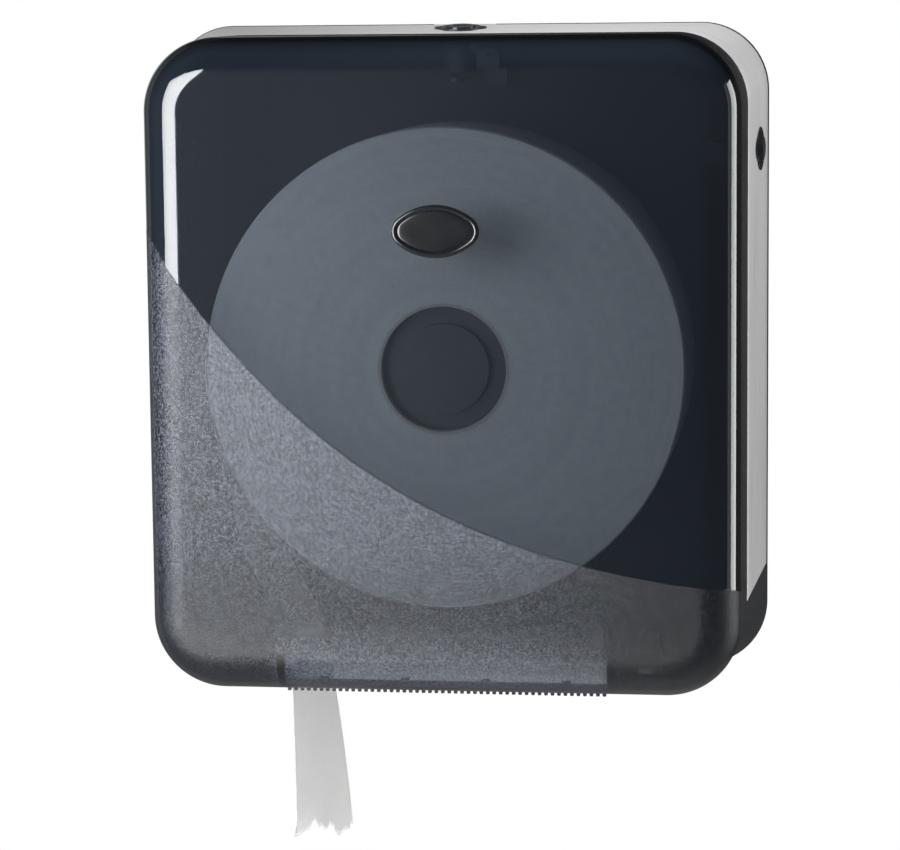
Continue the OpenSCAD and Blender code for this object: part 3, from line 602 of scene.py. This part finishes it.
def cover_shell(s):
    """Both skins of the cover, open at the back, with the mouth, the hinge relief and the lug slots."""
    corner, edge, wall = s.cover_corner, s.cover_edge, s.cover_wall
    slots = (LUG_X - LUG_SLOT_HALF, LUG_X + LUG_SLOT_HALF)
    marks = [k * x for k in (-1, 1) for x in (s.mouth_half, *slots)]
    relief = math.degrees(math.asin((-HINGE_Z - (s.cover_height / 2 - corner)) / corner))
    stations = rounded_stations(s.cover_width / 2, s.cover_height / 2, corner, marks, 24,
                                (-relief, 180.0 + relief))
    flat = s.front_depth - edge
    depths = [s.seam_depth, RELIEF_FRONT, 0.054, LUG_SLOT_FRONT, 0.080, 0.095, s.mouth_front, flat]
    turns = [math.radians(90.0 * k / 18) for k in range(1, 19)]

    def profile(inset, radius, front):
        """A skin's outline, as (inset, depth), from the back over the rounded edge to the front."""
        rows = [(inset, depth) for depth in depths]
        rows += [(inset + radius * (1 - math.cos(a)), front - radius + radius * math.sin(a)) for a in turns]
        return rows + [(inset + radius + 0.0012, front)]

    outer = profile(0.0, edge, s.front_depth)
    inner = profile(wall, edge - wall, s.front_depth - wall)
    around, along = len(stations), len(outer)
    verts = []
    for inset, depth in outer + inner:
        verts += [Vector((cx + (corner - inset) * ux, -depth, cz + (corner - inset) * uz))
                  for cx, cz, ux, uz in stations]

    def kept(i, j):
        """Whether a cell is wall and not part of an opening."""
        if not (0 <= j < along - 1):
            return False
        ends = [stations[k % around] for k in (i, i + 1)]
        middle = (ends[0][0] + ends[1][0]) / 2
        low = all(cz + corner * uz < HINGE_Z + 1e-6 for _, cz, _, uz in ends)
        under = all(uz == -1.0 for *_, uz in ends)
        depth = (outer[j][1] + outer[j + 1][1]) / 2
        if low and depth < RELIEF_FRONT:
            return False
        if under and abs(middle) < s.mouth_half and depth < s.mouth_front:
            return False
        return not (under and slots[0] < abs(middle) < slots[1] and depth < LUG_SLOT_FRONT)

    def outside(i, j):
        return j * around + i % around

    def inside(i, j):
        return along * around + outside(i, j)

    def rim(a, b):
        """A face that joins the skins along the edge from cell corner a to cell corner b."""
        return (outside(*a), outside(*b), inside(*b), inside(*a))

    faces = []
    for j in range(along - 1):
        for i in range(around):
            if not kept(i, j):
                continue
            cell = ((i, j), (i + 1, j), (i + 1, j + 1), (i, j + 1))
            faces.append([outside(*point) for point in cell])
            faces.append([inside(*point) for point in (cell[0], *cell[:0:-1])])
            if not kept(i, j - 1):
                faces.append(rim(cell[1], cell[0]))
            if not kept(i - 1, j):
                faces.append(rim(cell[0], cell[3]))
            if not kept(i + 1, j):
                faces.append(rim(cell[2], cell[1]))
    faces.append([outside(i, along - 1) for i in range(around)])
    faces.append([inside(i, along - 1) for i in range(around)][::-1])
    return verts, faces


def hinge_ear(solid, x0, x1):
    """An upright ear on the cover's floor, rounded over a drilled pin hole."""
    foot = HINGE_Z - FLOOR_Z
    radius, hole = 0.0055, 0.00255
    corner = math.atan2(foot, radius)
    angles = sorted([math.pi * k / 12 for k in range(13)]
                    + [math.pi + corner, 2 * math.pi - corner, 1.5 * math.pi, math.pi + corner / 2,
                       2 * math.pi - corner / 2])
    edge = []
    for a in angles:
        c, s = math.cos(a), math.sin(a)
        reach = radius if s >= -1e-9 else min(radius / max(abs(c), 1e-9), foot / max(abs(s), 1e-9))
        edge.append((c, s, reach))
    rows = []
    for x, at_hole in ((x0, True), (x0, False), (x1, False), (x1, True)):
        spokes = [(c, s, hole if at_hole else reach) for c, s, reach in edge]
        rows.append([Vector((x, -HINGE_DEPTH + c * out, HINGE_Z + s * out)) for c, s, out in spokes])
    solid.sweep(rows, joined=True)


def oval_ring(length, height, end_radius, inset, depth, middle_z, steps=(16, 14)):
    """One ring of an oval made of four arcs, anticlockwise as seen from the front."""
    # The small arcs' centres lie end_x to each side, and the large arcs' centres drop below and above.
    end_x, spare = length / 2 - end_radius, height / 2 - end_radius
    drop = (end_x * end_x - spare * spare) / (2 * spare)
    tip = math.atan2(drop, end_x)
    small, large = end_radius - inset, drop + height / 2 - inset
    ring = []
    for side in (1, -1):
        for i in range(steps[0]):
            a = -tip + 2 * tip * i / steps[0]
            ring.append((side * (end_x + small * math.cos(a)), side * small * math.sin(a)))
        for i in range(steps[1]):
            a = tip + (math.pi - 2 * tip) * i / steps[1]
            ring.append((side * large * math.cos(a), side * (large * math.sin(a) - drop)))
    return [Vector((x, -depth, middle_z + z)) for x, z in ring]


def circle(radius, steps):
    """Points of a circle about the origin, as (x, y)."""
    turns = [2 * math.pi * k / steps for k in range(steps)]
    return [(radius * math.cos(a), radius * math.sin(a)) for a in turns]


def cut_out(piece, cutters):
    """Takes the cutters' shapes out of a piece."""
    tool = bpy.data.objects.new("cutter", cutters.mesh("cutter"))
    bpy.context.scene.collection.objects.link(tool)
    modifier = piece.modifiers.new("holes", "BOOLEAN")
    modifier.operation, modifier.solver, modifier.object = "DIFFERENCE", "EXACT", tool
    bake_modifiers(piece)
    bpy.data.objects.remove(tool)


# ---------- Pieces ----------

class DISPENSER_OT_cover(bpy.types.Operator):
    """Make the smoked cover with its cheeks, hinge ears and strike pad"""
    bl_idname = "dispenser.cover"
    bl_label = "Cover"

    def execute(self, context):
        s = sizes()
        solid = Solid()
        solid.put(*cover_shell(s))
        for side in (-1, 1):
            def span(a, b):
                return (a, b) if side > 0 else (-b, -a)
            solid.block(*span(s.mouth_half, s.mouth_half + CHEEK_WIDE), CHEEK_BACK, CHEEK_FRONT,
                        FLOOR_Z, FLOOR_Z + CHEEK_HIGH)
            hinge_ear(solid, *span(LUG_X - EAR_FAR, LUG_X - EAR_NEAR))
            hinge_ear(solid, *span(LUG_X + EAR_NEAR, LUG_X + EAR_FAR))
        solid.block(*STRIKE_PAD, s.cover_height / 2 - s.cover_wall)
        cover = new_piece("smoked_cover", solid, "smoke_clear", "cover", 30.0)
        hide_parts("front_cover")
        return {"FINISHED"}


class DISPENSER_OT_band(bpy.types.Operator):
    """Make the brushed band that wraps the housing"""
    bl_idname = "dispenser.band"
    bl_label = "Trim band"

    def execute(self, context):
        # The band's outline across, as (depth, inset from the housing's rim), with softened edges.
        outer, inner, soft = 0.00005, 0.0014, 0.0004
        profile = [(BAND_BACK, 0.00035), (BAND_BACK + 0.00012, 0.00012), (BAND_BACK + soft, outer)]
        profile += [(BAND_BACK + soft + (BAND_FRONT - BAND_BACK - 2 * soft) * k / 6, outer)
                    for k in range(1, 7)]
        profile += [(BAND_FRONT - 0.00012, 0.00012), (BAND_FRONT, 0.00035), (BAND_FRONT, inner),
                    ((BAND_FRONT + BAND_BACK) / 2, inner), (BAND_BACK, inner)]
        # Its stations along the rim, from the lower left end over the top to the lower right end.
        steps = [("left", k / 12) for k in range(12)] + [("left corner", k / 20) for k in range(20)]
        steps += [("top", x) for x in (-1.0, -0.6, -0.3)]
        steps += [("mark", x) for x in (-TAB_HALF - 0.00002, -TAB_HALF, -0.006, 0.006, TAB_HALF,
                                        TAB_HALF + 0.00002)]
        steps += [("top", x) for x in (0.3, 0.6)]
        steps += [("right corner", k / 20) for k in range(20)] + [("right", k / 12) for k in range(13)]

        def spot(step, depth, inset):
            """The x and z of a station at a depth, drawn in by an inset."""
            kind, at = step
            half_wide, half_high = RIM_HALF[0] - SIDE_FLARE * depth, RIM_HALF[1] - TOP_FLARE * depth
            corner = RIM_CORNER - CORNER_FLARE * depth
            low = 0.0003 - BAND_END_BACK - (BAND_END_FRONT - BAND_END_BACK) * depth / HOUSING_DEPTH
            corner_x, corner_z = half_wide - corner, half_high - corner
            if kind in ("left", "right"):
                x = half_wide - inset
                z = low + (corner_z - low) * (at if kind == "left" else 1 - at)
                return (-x if kind == "left" else x), z
            if kind in ("top", "mark"):
                return (at * corner_x if kind == "top" else at), half_high - inset
            turn = math.radians(180 - 90 * at if kind == "left corner" else 90 - 90 * at)
            centre_x = -corner_x if kind == "left corner" else corner_x
            return centre_x + (corner - inset) * math.cos(turn), corner_z + (corner - inset) * math.sin(turn)

        rings, uvs, along = [], [], 0.0
        last = None
        for step in steps:
            on_tab = step[0] == "mark" and abs(step[1]) <= TAB_HALF
            here = Vector(spot(step, 0.020, outer))
            along += (here - last).length if last else 0.0
            last = here
            ring = []
            for depth, inset in profile:
                if on_tab and depth < BAND_BACK + 0.0006:        # the tab reaches back to the wall
                    depth = depth - BAND_BACK + 0.00005
                x, z = spot(step, depth, inset)
                ring.append(Vector((x, -depth, z)))
                uvs.append((along, depth))
            rings.append(ring)
        solid = Solid()
        solid.sweep(rings)
        piece = new_piece("brushed_band", solid, "band_silver", "housing", 40.0, ("Along", uvs))
        face_outwards(piece.data)
        cutters = Solid()
        holes = [(LOCK, Matrix.Rotation(LOCK_LEAN, 4, "X"), LOCK_HOLE)]
        holes += [(Vector((side * BUTTON_X, -BUTTON_DEPTH, BUTTON_Z)),
                   Matrix.Rotation(side * math.pi / 2, 4, "Y"), BUTTON_HOLE) for side in (1, -1)]
        for centre, turn, radius in holes:
            cutters.sweep([[centre + turn @ Vector((x, y, h)) for x, y in circle(radius, 48)]
                           for h in (-0.006, 0.006)])
        cut_out(piece, cutters)
        round_off(piece.data, 40.0)
        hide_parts("trim_band")
        return {"FINISHED"}


class DISPENSER_OT_badge(bpy.types.Operator):
    """Make the blank oval badge with its rounded rim"""
    bl_idname = "dispenser.badge"
    bl_label = "Badge"

    def execute(self, context):
        s = sizes()
        middle, front, end_radius = 0.0764, s.front_depth, 0.009

        def rings(profile):
            return [oval_ring(s.badge_length, s.badge_height, end_radius, inset, front + rise, middle)
                    for inset, rise in profile]

        # Profiles are (inset from the badge's edge, height over the cover's front).
        rim = [(0.0, 0.0), (0.0, 0.0012), (0.0002, 0.0018), (0.0006, 0.0023), (0.0011, 0.00255),
               (0.0016, 0.0026), (0.0021, 0.0025), (0.0026, 0.0022), (0.0029, 0.0017), (0.0030, 0.0012),
               (0.0030, 0.0)]
        solid = Solid()
        solid.sweep(rings(rim), joined=True)
        bezel = new_piece("badge_rim", solid, "gloss_black", "cover", 50.0)
        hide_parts("badge_bezel")
        plate = Solid()
        face = [(0.0031, 0.0), (0.0031, 0.0009), (0.0033, 0.0011), (0.0038, 0.00118), (0.0048, 0.00128),
                (0.0062, 0.00136), (0.0076, 0.0014)]
        plate.sweep(rings(face))
        blank = new_piece("badge_face", plate, "gloss_black", "cover", 50.0)
        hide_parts("badge_plate")
        return {"FINISHED"}


class DISPENSER_OT_tear_bar(bpy.types.Operator):
    """Make the tear bar, its row of teeth repeated by Geometry Nodes"""
    bl_idname = "dispenser.tear_bar"
    bl_label = "Tear bar"

    def execute(self, context):
        s = sizes()
        low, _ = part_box("tear_bar")
        gap = 0.0001             # between the bar and each cheek
        half = s.mouth_half - gap
        back, front = 0.1052, 0.1064
        root, tip = -s.cover_height / 2 - 0.0004, low[2]
        bar = Solid()
        # The flange lies on the cover's floor. Its outline is (depth, height over the floor).
        flange = ((back, 0.0), (0.1082, 0.0), (0.1101, 0.00013), (0.1118, 0.00042), (0.1120, 0.0006),
                  (0.1120, 0.0017), (0.1117, 0.0020), (back + 0.0003, 0.0020), (back, 0.0017))
        bar.sweep([[Vector((x, -d, FLOOR_Z + h)) for d, h in flange] for x in (-half, half)])
        bar.block(-half, half, back, front, root, FLOOR_Z + 0.0001, 0.0001)
        base = new_piece("tear_bar_blade", bar, "tooth_black", None, 32.0)
        pitch = 2 * s.mouth_half / s.tooth_count
        peg = Solid()
        wide, narrow, deep = 0.31 * pitch, 0.26 * pitch, (front - back) / 2
        # One tooth, from its root to its tip, as (half width, half depth, height).
        rows = [(wide, deep, root + 0.0001), (wide * 0.97, deep, root - 0.0006),
                (narrow * 1.05, deep, tip + 0.0006), (narrow * 0.88, deep * 0.9, tip + 0.00015),
                (narrow * 0.6, deep * 0.6, tip)]
        corners = ((-1, -1), (-1, 1), (1, 1), (1, -1))
        peg.sweep([[Vector((x * w, y * d, z)) for x, y in corners] for w, d, z in rows])
        tooth = new_piece("tooth_pattern", peg, "tooth_black", None, 32.0)
        base.modifiers.new("teeth", "NODES").node_group = tooth_row()
        for name, value in (("Tooth", tooth), ("Count", s.tooth_count), ("Pitch", pitch * (1 - gap / half)),
                            ("Depth", -(front + back) / 2), ("Finish", finish("tooth_black"))):
            set_input(base, name, value)
        made = evaluated_mesh(base)
        for old in (base, tooth):
            bpy.data.objects.remove(old)
        piece = bpy.data.objects.new("toothed_tear_bar", made)
        context.scene.collection.objects.link(piece)
        round_off(made, 30.0)
        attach(piece, "cover")
        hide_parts("tear_bar")
        return {"FINISHED"}


def tooth_row():
    """A node group that joins a row of teeth, centred on X, to the blade."""
    group = bpy.data.node_groups.new("Row of teeth", "GeometryNodeTree")
    for name, kind in (("Geometry", "Geometry"), ("Tooth", "Object"), ("Count", "Int"), ("Pitch", "Float"),
                       ("Depth", "Float"), ("Finish", "Material")):
        group.interface.new_socket(name, in_out="INPUT", socket_type="NodeSocket" + kind)
    group.interface.new_socket("Geometry", in_out="OUTPUT", socket_type="NodeSocketGeometry")

    def add(kind, settings=None, values=None):
        return add_node(group, kind, settings, values)

    given = add("NodeGroupInput").outputs
    less = add("ShaderNodeMath", {"operation": "SUBTRACT"}, {0: given["Count"], 1: 1.0})
    reach = add("ShaderNodeMath", {"operation": "MULTIPLY"}, {0: less.outputs[0], 1: given["Pitch"]})
    start_x = add("ShaderNodeMath", {"operation": "MULTIPLY"}, {0: reach.outputs[0], 1: -0.5})
    start = add("ShaderNodeCombineXYZ", None, {0: start_x.outputs[0], 1: given["Depth"]})
    step = add("ShaderNodeCombineXYZ", None, {0: given["Pitch"]})
    row = add("GeometryNodeMeshLine", {"mode": "OFFSET"},
              {"Count": given["Count"], "Start Location": start.outputs[0], "Offset": step.outputs[0]})
    shape = add("GeometryNodeObjectInfo", {"transform_space": "ORIGINAL"}, {"Object": given["Tooth"]})
    placed = add("GeometryNodeInstanceOnPoints", None,
                 {"Points": row.outputs[0], "Instance": shape.outputs["Geometry"]})
    joined = add("GeometryNodeJoinGeometry", None, {0: placed.outputs[0]})
    group.links.new(given["Geometry"], joined.inputs[0])
    real = add("GeometryNodeRealizeInstances", None, {0: joined.outputs[0]})
    painted = add("GeometryNodeSetMaterial", None, {"Geometry": real.outputs[0], "Material": given["Finish"]})
    add("NodeGroupOutput", None, {0: painted.outputs[0]})
    return group


def set_input(piece, name, value):
    """Sets a named input of a piece's node modifier."""
    modifier = piece.modifiers[-1]
    socket = next(item for item in modifier.node_group.interface.items_tree
                  if item.item_type == "SOCKET" and item.in_out == "INPUT" and item.name == name)
    modifier[socket.identifier] = value


class DISPENSER_OT_roll(bpy.types.Operator):
    """Make the wound roll, its sides slightly uneven"""
    bl_idname = "dispenser.roll"
    bl_label = "Paper roll"

    def execute(self, context):
        s = sizes()
        bore, outside = 0.03665, s.roll_radius           # radii
        back, front = s.roll_back, s.roll_back + s.paper_width
        turns, rows = 256, 44

        def uneven(radius, angle, seed):
            """How far in from flat a side of the roll lies: slow waves, fine layers and rays."""
            slow = noise.noise(Vector((math.cos(angle) * 0.8, math.sin(angle) * 0.8, radius * 55 + seed)))
            fine = noise.noise(Vector((radius * 420, seed, 0.3 * math.sin(angle))))
            ray = noise.noise(Vector((math.cos(angle) * 7, math.sin(angle) * 7, radius * 12 + seed)))
            return 0.00035 + 0.00022 * slow + 0.00010 * fine + 0.00018 * ray

        radii = [bore + (outside - bore) * k / rows for k in range(rows + 1)]
        # The outline is (radius, depth, side): side is 1 at the back, -1 in front and 0 on the outside.
        profile = [(r, back, 1) for r in radii[:-1]] + [(outside - 0.0010, back, 1)]
        profile += [(outside, back + 0.0014, 0)]
        profile += [(outside, back + (front - back) * k / 8, 0) for k in range(1, 8)]
        profile += [(outside, front - 0.0014, 0), (outside - 0.0010, front, -1)]
        profile += [(r, front, -1) for r in radii[:-1][::-1]]
        rings = []
        for k in range(turns):
            a = 2 * math.pi * k / turns
            ring = []
            for r, d, side in profile:
                shift = uneven(r, a, 4.0 if side > 0 else 31.0) if side else 0.0
                if r == bore:
                    shift = 0.0
                bulge = r
                if side == 0:
                    spot = Vector((math.cos(a) * 3, math.sin(a) * 3, d * 20))
                    bulge = r - (0.00012 + 0.00010 * noise.noise(spot))
                ring.append(Vector((bulge * math.cos(a), -(d + side * shift), AXIS_Z + bulge * math.sin(a))))
            rings.append(ring)
        solid = Solid()
        solid.sweep(rings, joined=True)
        piece = new_piece("wound_roll", solid, "wound", "roll", 45.0)
        face_outwards(piece.data)
        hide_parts("paper_roll")
        return {"FINISHED"}


class DISPENSER_OT_paper(bpy.types.Operator):
    """Make the loose end: off the roll, down through the mouth and hanging, torn at the bottom"""
    bl_idname = "dispenser.paper"
    bl_label = "Hanging paper"

    def execute(self, context):
        s = sizes()
        thick, gap = 0.0003, 0.0003
        lift = s.roll_radius + gap + thick / 2
        # The sheet leaves the roll at one point and starts to hang at another. Both are (x, z).
        end = Vector((-s.mouth_half + 0.0031, FLOOR_Z + 0.021))
        to_axis = Vector((-end.x, AXIS_Z - end.y))
        lean = math.atan2(to_axis.y, to_axis.x) - math.acos(lift / to_axis.length)
        leave = Vector((-lift * math.cos(lean), AXIS_Z - lift * math.sin(lean)))
        wrap = math.radians(24)          # how far round the roll it still clings
        sag = 0.0070                     # how far it bows out of line on its way to the mouth
        free = (end - leave).length
        hang = s.paper_length - lift * wrap - free
        back, front = s.roll_back, s.roll_back + s.paper_width

        def centre(at):
            """The sheet's middle line, at a distance from its start: x, z and how much of it hangs so far."""
            if at < lift * wrap:
                a = math.pi + lean - wrap + at / lift
                return lift * math.cos(a), AXIS_Z + lift * math.sin(a), 0.0
            at -= lift * wrap
            if at < free:
                p = leave.lerp(end, at / free)
                bow = sag * math.sin(math.pi * at / free) ** 2
                return p.x - bow * math.cos(lean), p.y - bow * math.sin(lean), 0.0
            down = at - free
            return end.x, end.y - down, down

        # How far the torn edge ends short of its longest point, in millimetres, against the share of the
        # way from its back corner to its front corner.
        torn = ((0.0, 2.3), (0.045, 3.7), (0.06, 0.0), (0.167, 2.5), (0.227, 0.8), (0.288, 2.6),
                (0.364, 9.6), (0.43, 11.5), (0.46, 14.2), (0.485, 11.8), (0.55, 10.7), (0.62, 15.4),
                (0.674, 15.8), (0.742, 22.1), (0.80, 18.2), (0.93, 17.2), (1.0, 16.9))

        def short(across):
            (a, low), (b, high) = next(pair for pair in zip(torn, torn[1:]) if across <= pair[1][0])
            return (low + (high - low) * (across - a) / (b - a)) / 1000

        rows, columns = 120, 66
        verts, uvs = [], []
        for j in range(rows + 1):
            for i in range(columns + 1):
                across = i / columns
                u = across * s.paper_width
                ends = min(1.0, 12 * across * (1 - across))
                ragged = 0.0011 * noise.noise(Vector((u * 900, 9.7, 0.0))) * ends
                length = s.paper_length - max(0.0, short(across) + ragged)
                at = length * j / rows
                x, z, down = centre(at)
                # The hanging part twists about its front edge, drifts to the right and curls.
                away = across - 1.0
                share = min(1.0, down / hang)
                twist = math.radians(13.0 * share * (1 - 0.35 * share) + 0.7 * min(1.0, 8 * share))
                x -= away * s.paper_width * math.sin(twist)
                y = -(front + away * s.paper_width * math.cos(twist))
                if down > 0:
                    curl = 0.0012 * math.sin(math.pi * across) * share
                    x += 0.0030 * share - 0.0060 * max(0.0, share - 0.80) / 0.20 * across ** 6
                    x += curl + 0.0010 * share * math.sin(9.0 * across + 2.2)
                verts.append(Vector((x, y, z)))
                uvs.append((u, at))
        n = columns + 1
        sheet = Solid()
        sheet.put(verts, [(j * n + i, j * n + i + 1, (j + 1) * n + i + 1, (j + 1) * n + i)
                          for j in range(rows) for i in range(columns)])
        piece = new_piece("hanging_paper", sheet, "tissue", "housing", 60.0, ("Paper", uvs))
        solid = piece.modifiers.new("thickness", "SOLIDIFY")
        solid.thickness, solid.offset, solid.use_even_offset = thick, 0.0, False
        bake_modifiers(piece)
        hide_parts("paper_tail")
        return {"FINISHED"}


class DISPENSER_OT_cad_finishes(bpy.types.Operator):
    """Give every piece that keeps its CAD shape its own finish"""
    bl_idname = "dispenser.cad_finishes"
    bl_label = "Plain pieces"

    GROUPS = {
        "housing_black": ("rear_housing", "cover_catch_left", "cover_catch_right", "release_button_left",
                          "release_button_right"),
        "gloss_black": ("lock_housing", "button_bezel_left", "button_bezel_right", "lock_barrel"),
        "spindle_grey": ("spindle", "spindle_cap", "hub_sleeve"),
        "steel": ("spindle_screws", "button_spring_left", "button_spring_right", "hinge_pin_left",
                  "hinge_pin_right"),
        "dark_steel": ("lock_nut", "lock_cam", "cam_screw", "tear_bar_screws", "cover_strike",
                       "strike_screws"),
        "cardboard": ("core_tube",),
    }

    def execute(self, context):
        for name, nodes in self.GROUPS.items():
            for node in nodes:
                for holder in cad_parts[node].material_slots:
                    holder.material = finish(name)
        return {"FINISHED"}


class DISPENSER_OT_stage(bpy.types.Operator):
    """Set the pale floor, the soft lights and the camera"""
    bl_idname = "dispenser.stage"
    bl_label = "Stage"

    def execute(self, context):
        scene = context.scene
        scene.view_settings.view_transform = "Standard"
        floor = Solid()
        floor.sweep([[Vector((x, y - 0.1, z)) for x, y in circle(1.2, 64)] for z in (-0.760, -0.750)])
        new_piece("studio_floor", floor, "floor", None, 32.0)

        add_lamps(scene)
        light_world(scene)
        add_camera(scene)
        return {"FINISHED"}


# The strip boxes only show as reflections, and the other boxes only shed soft light. Each row is a name,
# a place, the point aimed at, a size, a brightness and whether it shows as a reflection.
LAMPS = (
    ("Left strip box", (-0.882, -1.206, 0.13), (-0.155, -0.128, 0.13), (0.860, 1.25), 20.5, True),
    ("Right strip box", (1.29, 0.28, 0.0), (0.16, -0.12, 0.0), (0.488, 1.30), 5.0, True),
    ("Key box", (-0.48, -0.48, 0.15), (0.0, -0.10, 0.0), (0.45, 0.45), 9.0, False),
    ("Top box", (0.08, -0.10, 0.42), (0.10, -0.02, 0.187), (0.22, 0.22), 8.8, False),
    ("Side box", (0.55, -0.05, 0.33), (0.17, -0.02, 0.12), (0.20, 0.20), 12.2, False),
    ("Low box", (0.38, -0.20, -0.68), (-0.08, -0.06, -0.24), (0.35, 0.35), 11.0, False),
)


def add_lamps(scene):
    for name, centre, target, size, strength, shines in LAMPS:
        lamp = bpy.data.lights.new(name, "AREA")
        lamp.shape, lamp.size, lamp.size_y = "RECTANGLE", *size
        lamp.energy = strength * math.pi * size[0] * size[1]
        holder = bpy.data.objects.new(name, lamp)
        holder.location = centre
        holder.rotation_euler = (Vector(target) - Vector(centre)).to_track_quat("-Z", "Y").to_euler()
        holder.visible_glossy, holder.visible_diffuse = shines, not shines
        scene.collection.objects.link(holder)


def light_world(scene):
    """Reflections see a dim room, lighter to the left. The camera and what clear plastic lets through see
    white, and every other ray sees grey."""
    scene.world = bpy.data.worlds.new("Studio")
    room = Shading(scene.world)
    path = room.add("LightPath").outputs
    east, north, up = room.split(room.place("Generated"))
    side_glow = (-east).step(0.04, 0.30) * (-east).step(0.75, 0.45) * up.absolute().step(0.50, 0.15)

    def glow(strength):
        return room.add("Background", None, {"Color": (1.0, 1.0, 1.0), "Strength": strength}).outputs[0]

    def pick(share, first, second):
        return room.add("MixShader", None, {0: share, 1: first, 2: second}).outputs[0]

    mirrored = side_glow * 0.45 + 0.10 - up.step(0.1, 0.5) * 0.07 - north.step(0.35, 0.85) * 0.06
    seen = pick(path["Is Glossy Ray"], glow(0.20), glow(mirrored.at_least(0.01)))
    seen = pick(path["Is Transmission Ray"], seen, glow(1.0))
    seen = pick(path["Is Camera Ray"], seen, glow(1.0))
    room.tree.links.new(seen, room.add("OutputWorld").inputs[0])


def add_camera(scene):
    yaw, pitch, roll = (math.radians(a) for a in CAMERA_TURN)
    ahead = Vector((math.sin(yaw) * math.cos(pitch), math.cos(yaw) * math.cos(pitch), -math.sin(pitch)))
    level = Vector((math.cos(yaw), -math.sin(yaw), 0.0))
    above = level.cross(ahead)
    right = level * math.cos(roll) + above * math.sin(roll)
    up = above * math.cos(roll) - level * math.sin(roll)
    lens = bpy.data.cameras.new("Camera")
    lens.sensor_fit, lens.sensor_width, lens.lens = "HORIZONTAL", SENSOR, CAMERA_REACH * SENSOR
    lens.clip_start, lens.clip_end = 0.05, 30.0
    camera = bpy.data.objects.new("Camera", lens)
    turn = Matrix((right, up, -ahead)).transposed().to_4x4()
    camera.matrix_world = Matrix.Translation(CAMERA_PLACE) @ turn
    scene.collection.objects.link(camera)
    scene.camera = camera


class DISPENSER_PT_panel(bpy.types.Panel):
    """Lists the dispenser's pieces and settings"""
    bl_idname = "DISPENSER_PT_panel"
    bl_label = "Dispenser"
    bl_space_type = "VIEW_3D"
    bl_region_type = "UI"
    bl_category = "Dispenser"

    def draw(self, context):
        for group in (context.scene.dispenser_sizes, context.scene.dispenser_colours):
            for name in group.bl_rna.properties.keys():
                if name not in ("rna_type", "name"):
                    self.layout.prop(group, name)
        for operator in OPERATORS:
            self.layout.operator(operator.bl_idname)


OPERATORS = (DISPENSER_OT_stage, DISPENSER_OT_cad_finishes, DISPENSER_OT_cover, DISPENSER_OT_band,
             DISPENSER_OT_badge, DISPENSER_OT_tear_bar, DISPENSER_OT_roll, DISPENSER_OT_paper)
CLASSES = (DispenserSizes, DispenserColours, *OPERATORS, DISPENSER_PT_panel)


def register():
    for item in CLASSES:
        bpy.utils.register_class(item)
    bpy.types.Scene.dispenser_sizes = bpy.props.PointerProperty(type=DispenserSizes)
    bpy.types.Scene.dispenser_colours = bpy.props.PointerProperty(type=DispenserColours)


def unregister():
    del bpy.types.Scene.dispenser_colours
    del bpy.types.Scene.dispenser_sizes
    for item in reversed(CLASSES):
        bpy.utils.unregister_class(item)


def main():
    register()
    for operator in OPERATORS:
        getattr(bpy.ops.dispenser, operator.bl_idname.split(".")[1])()


if __name__ == "__main__":
    main()
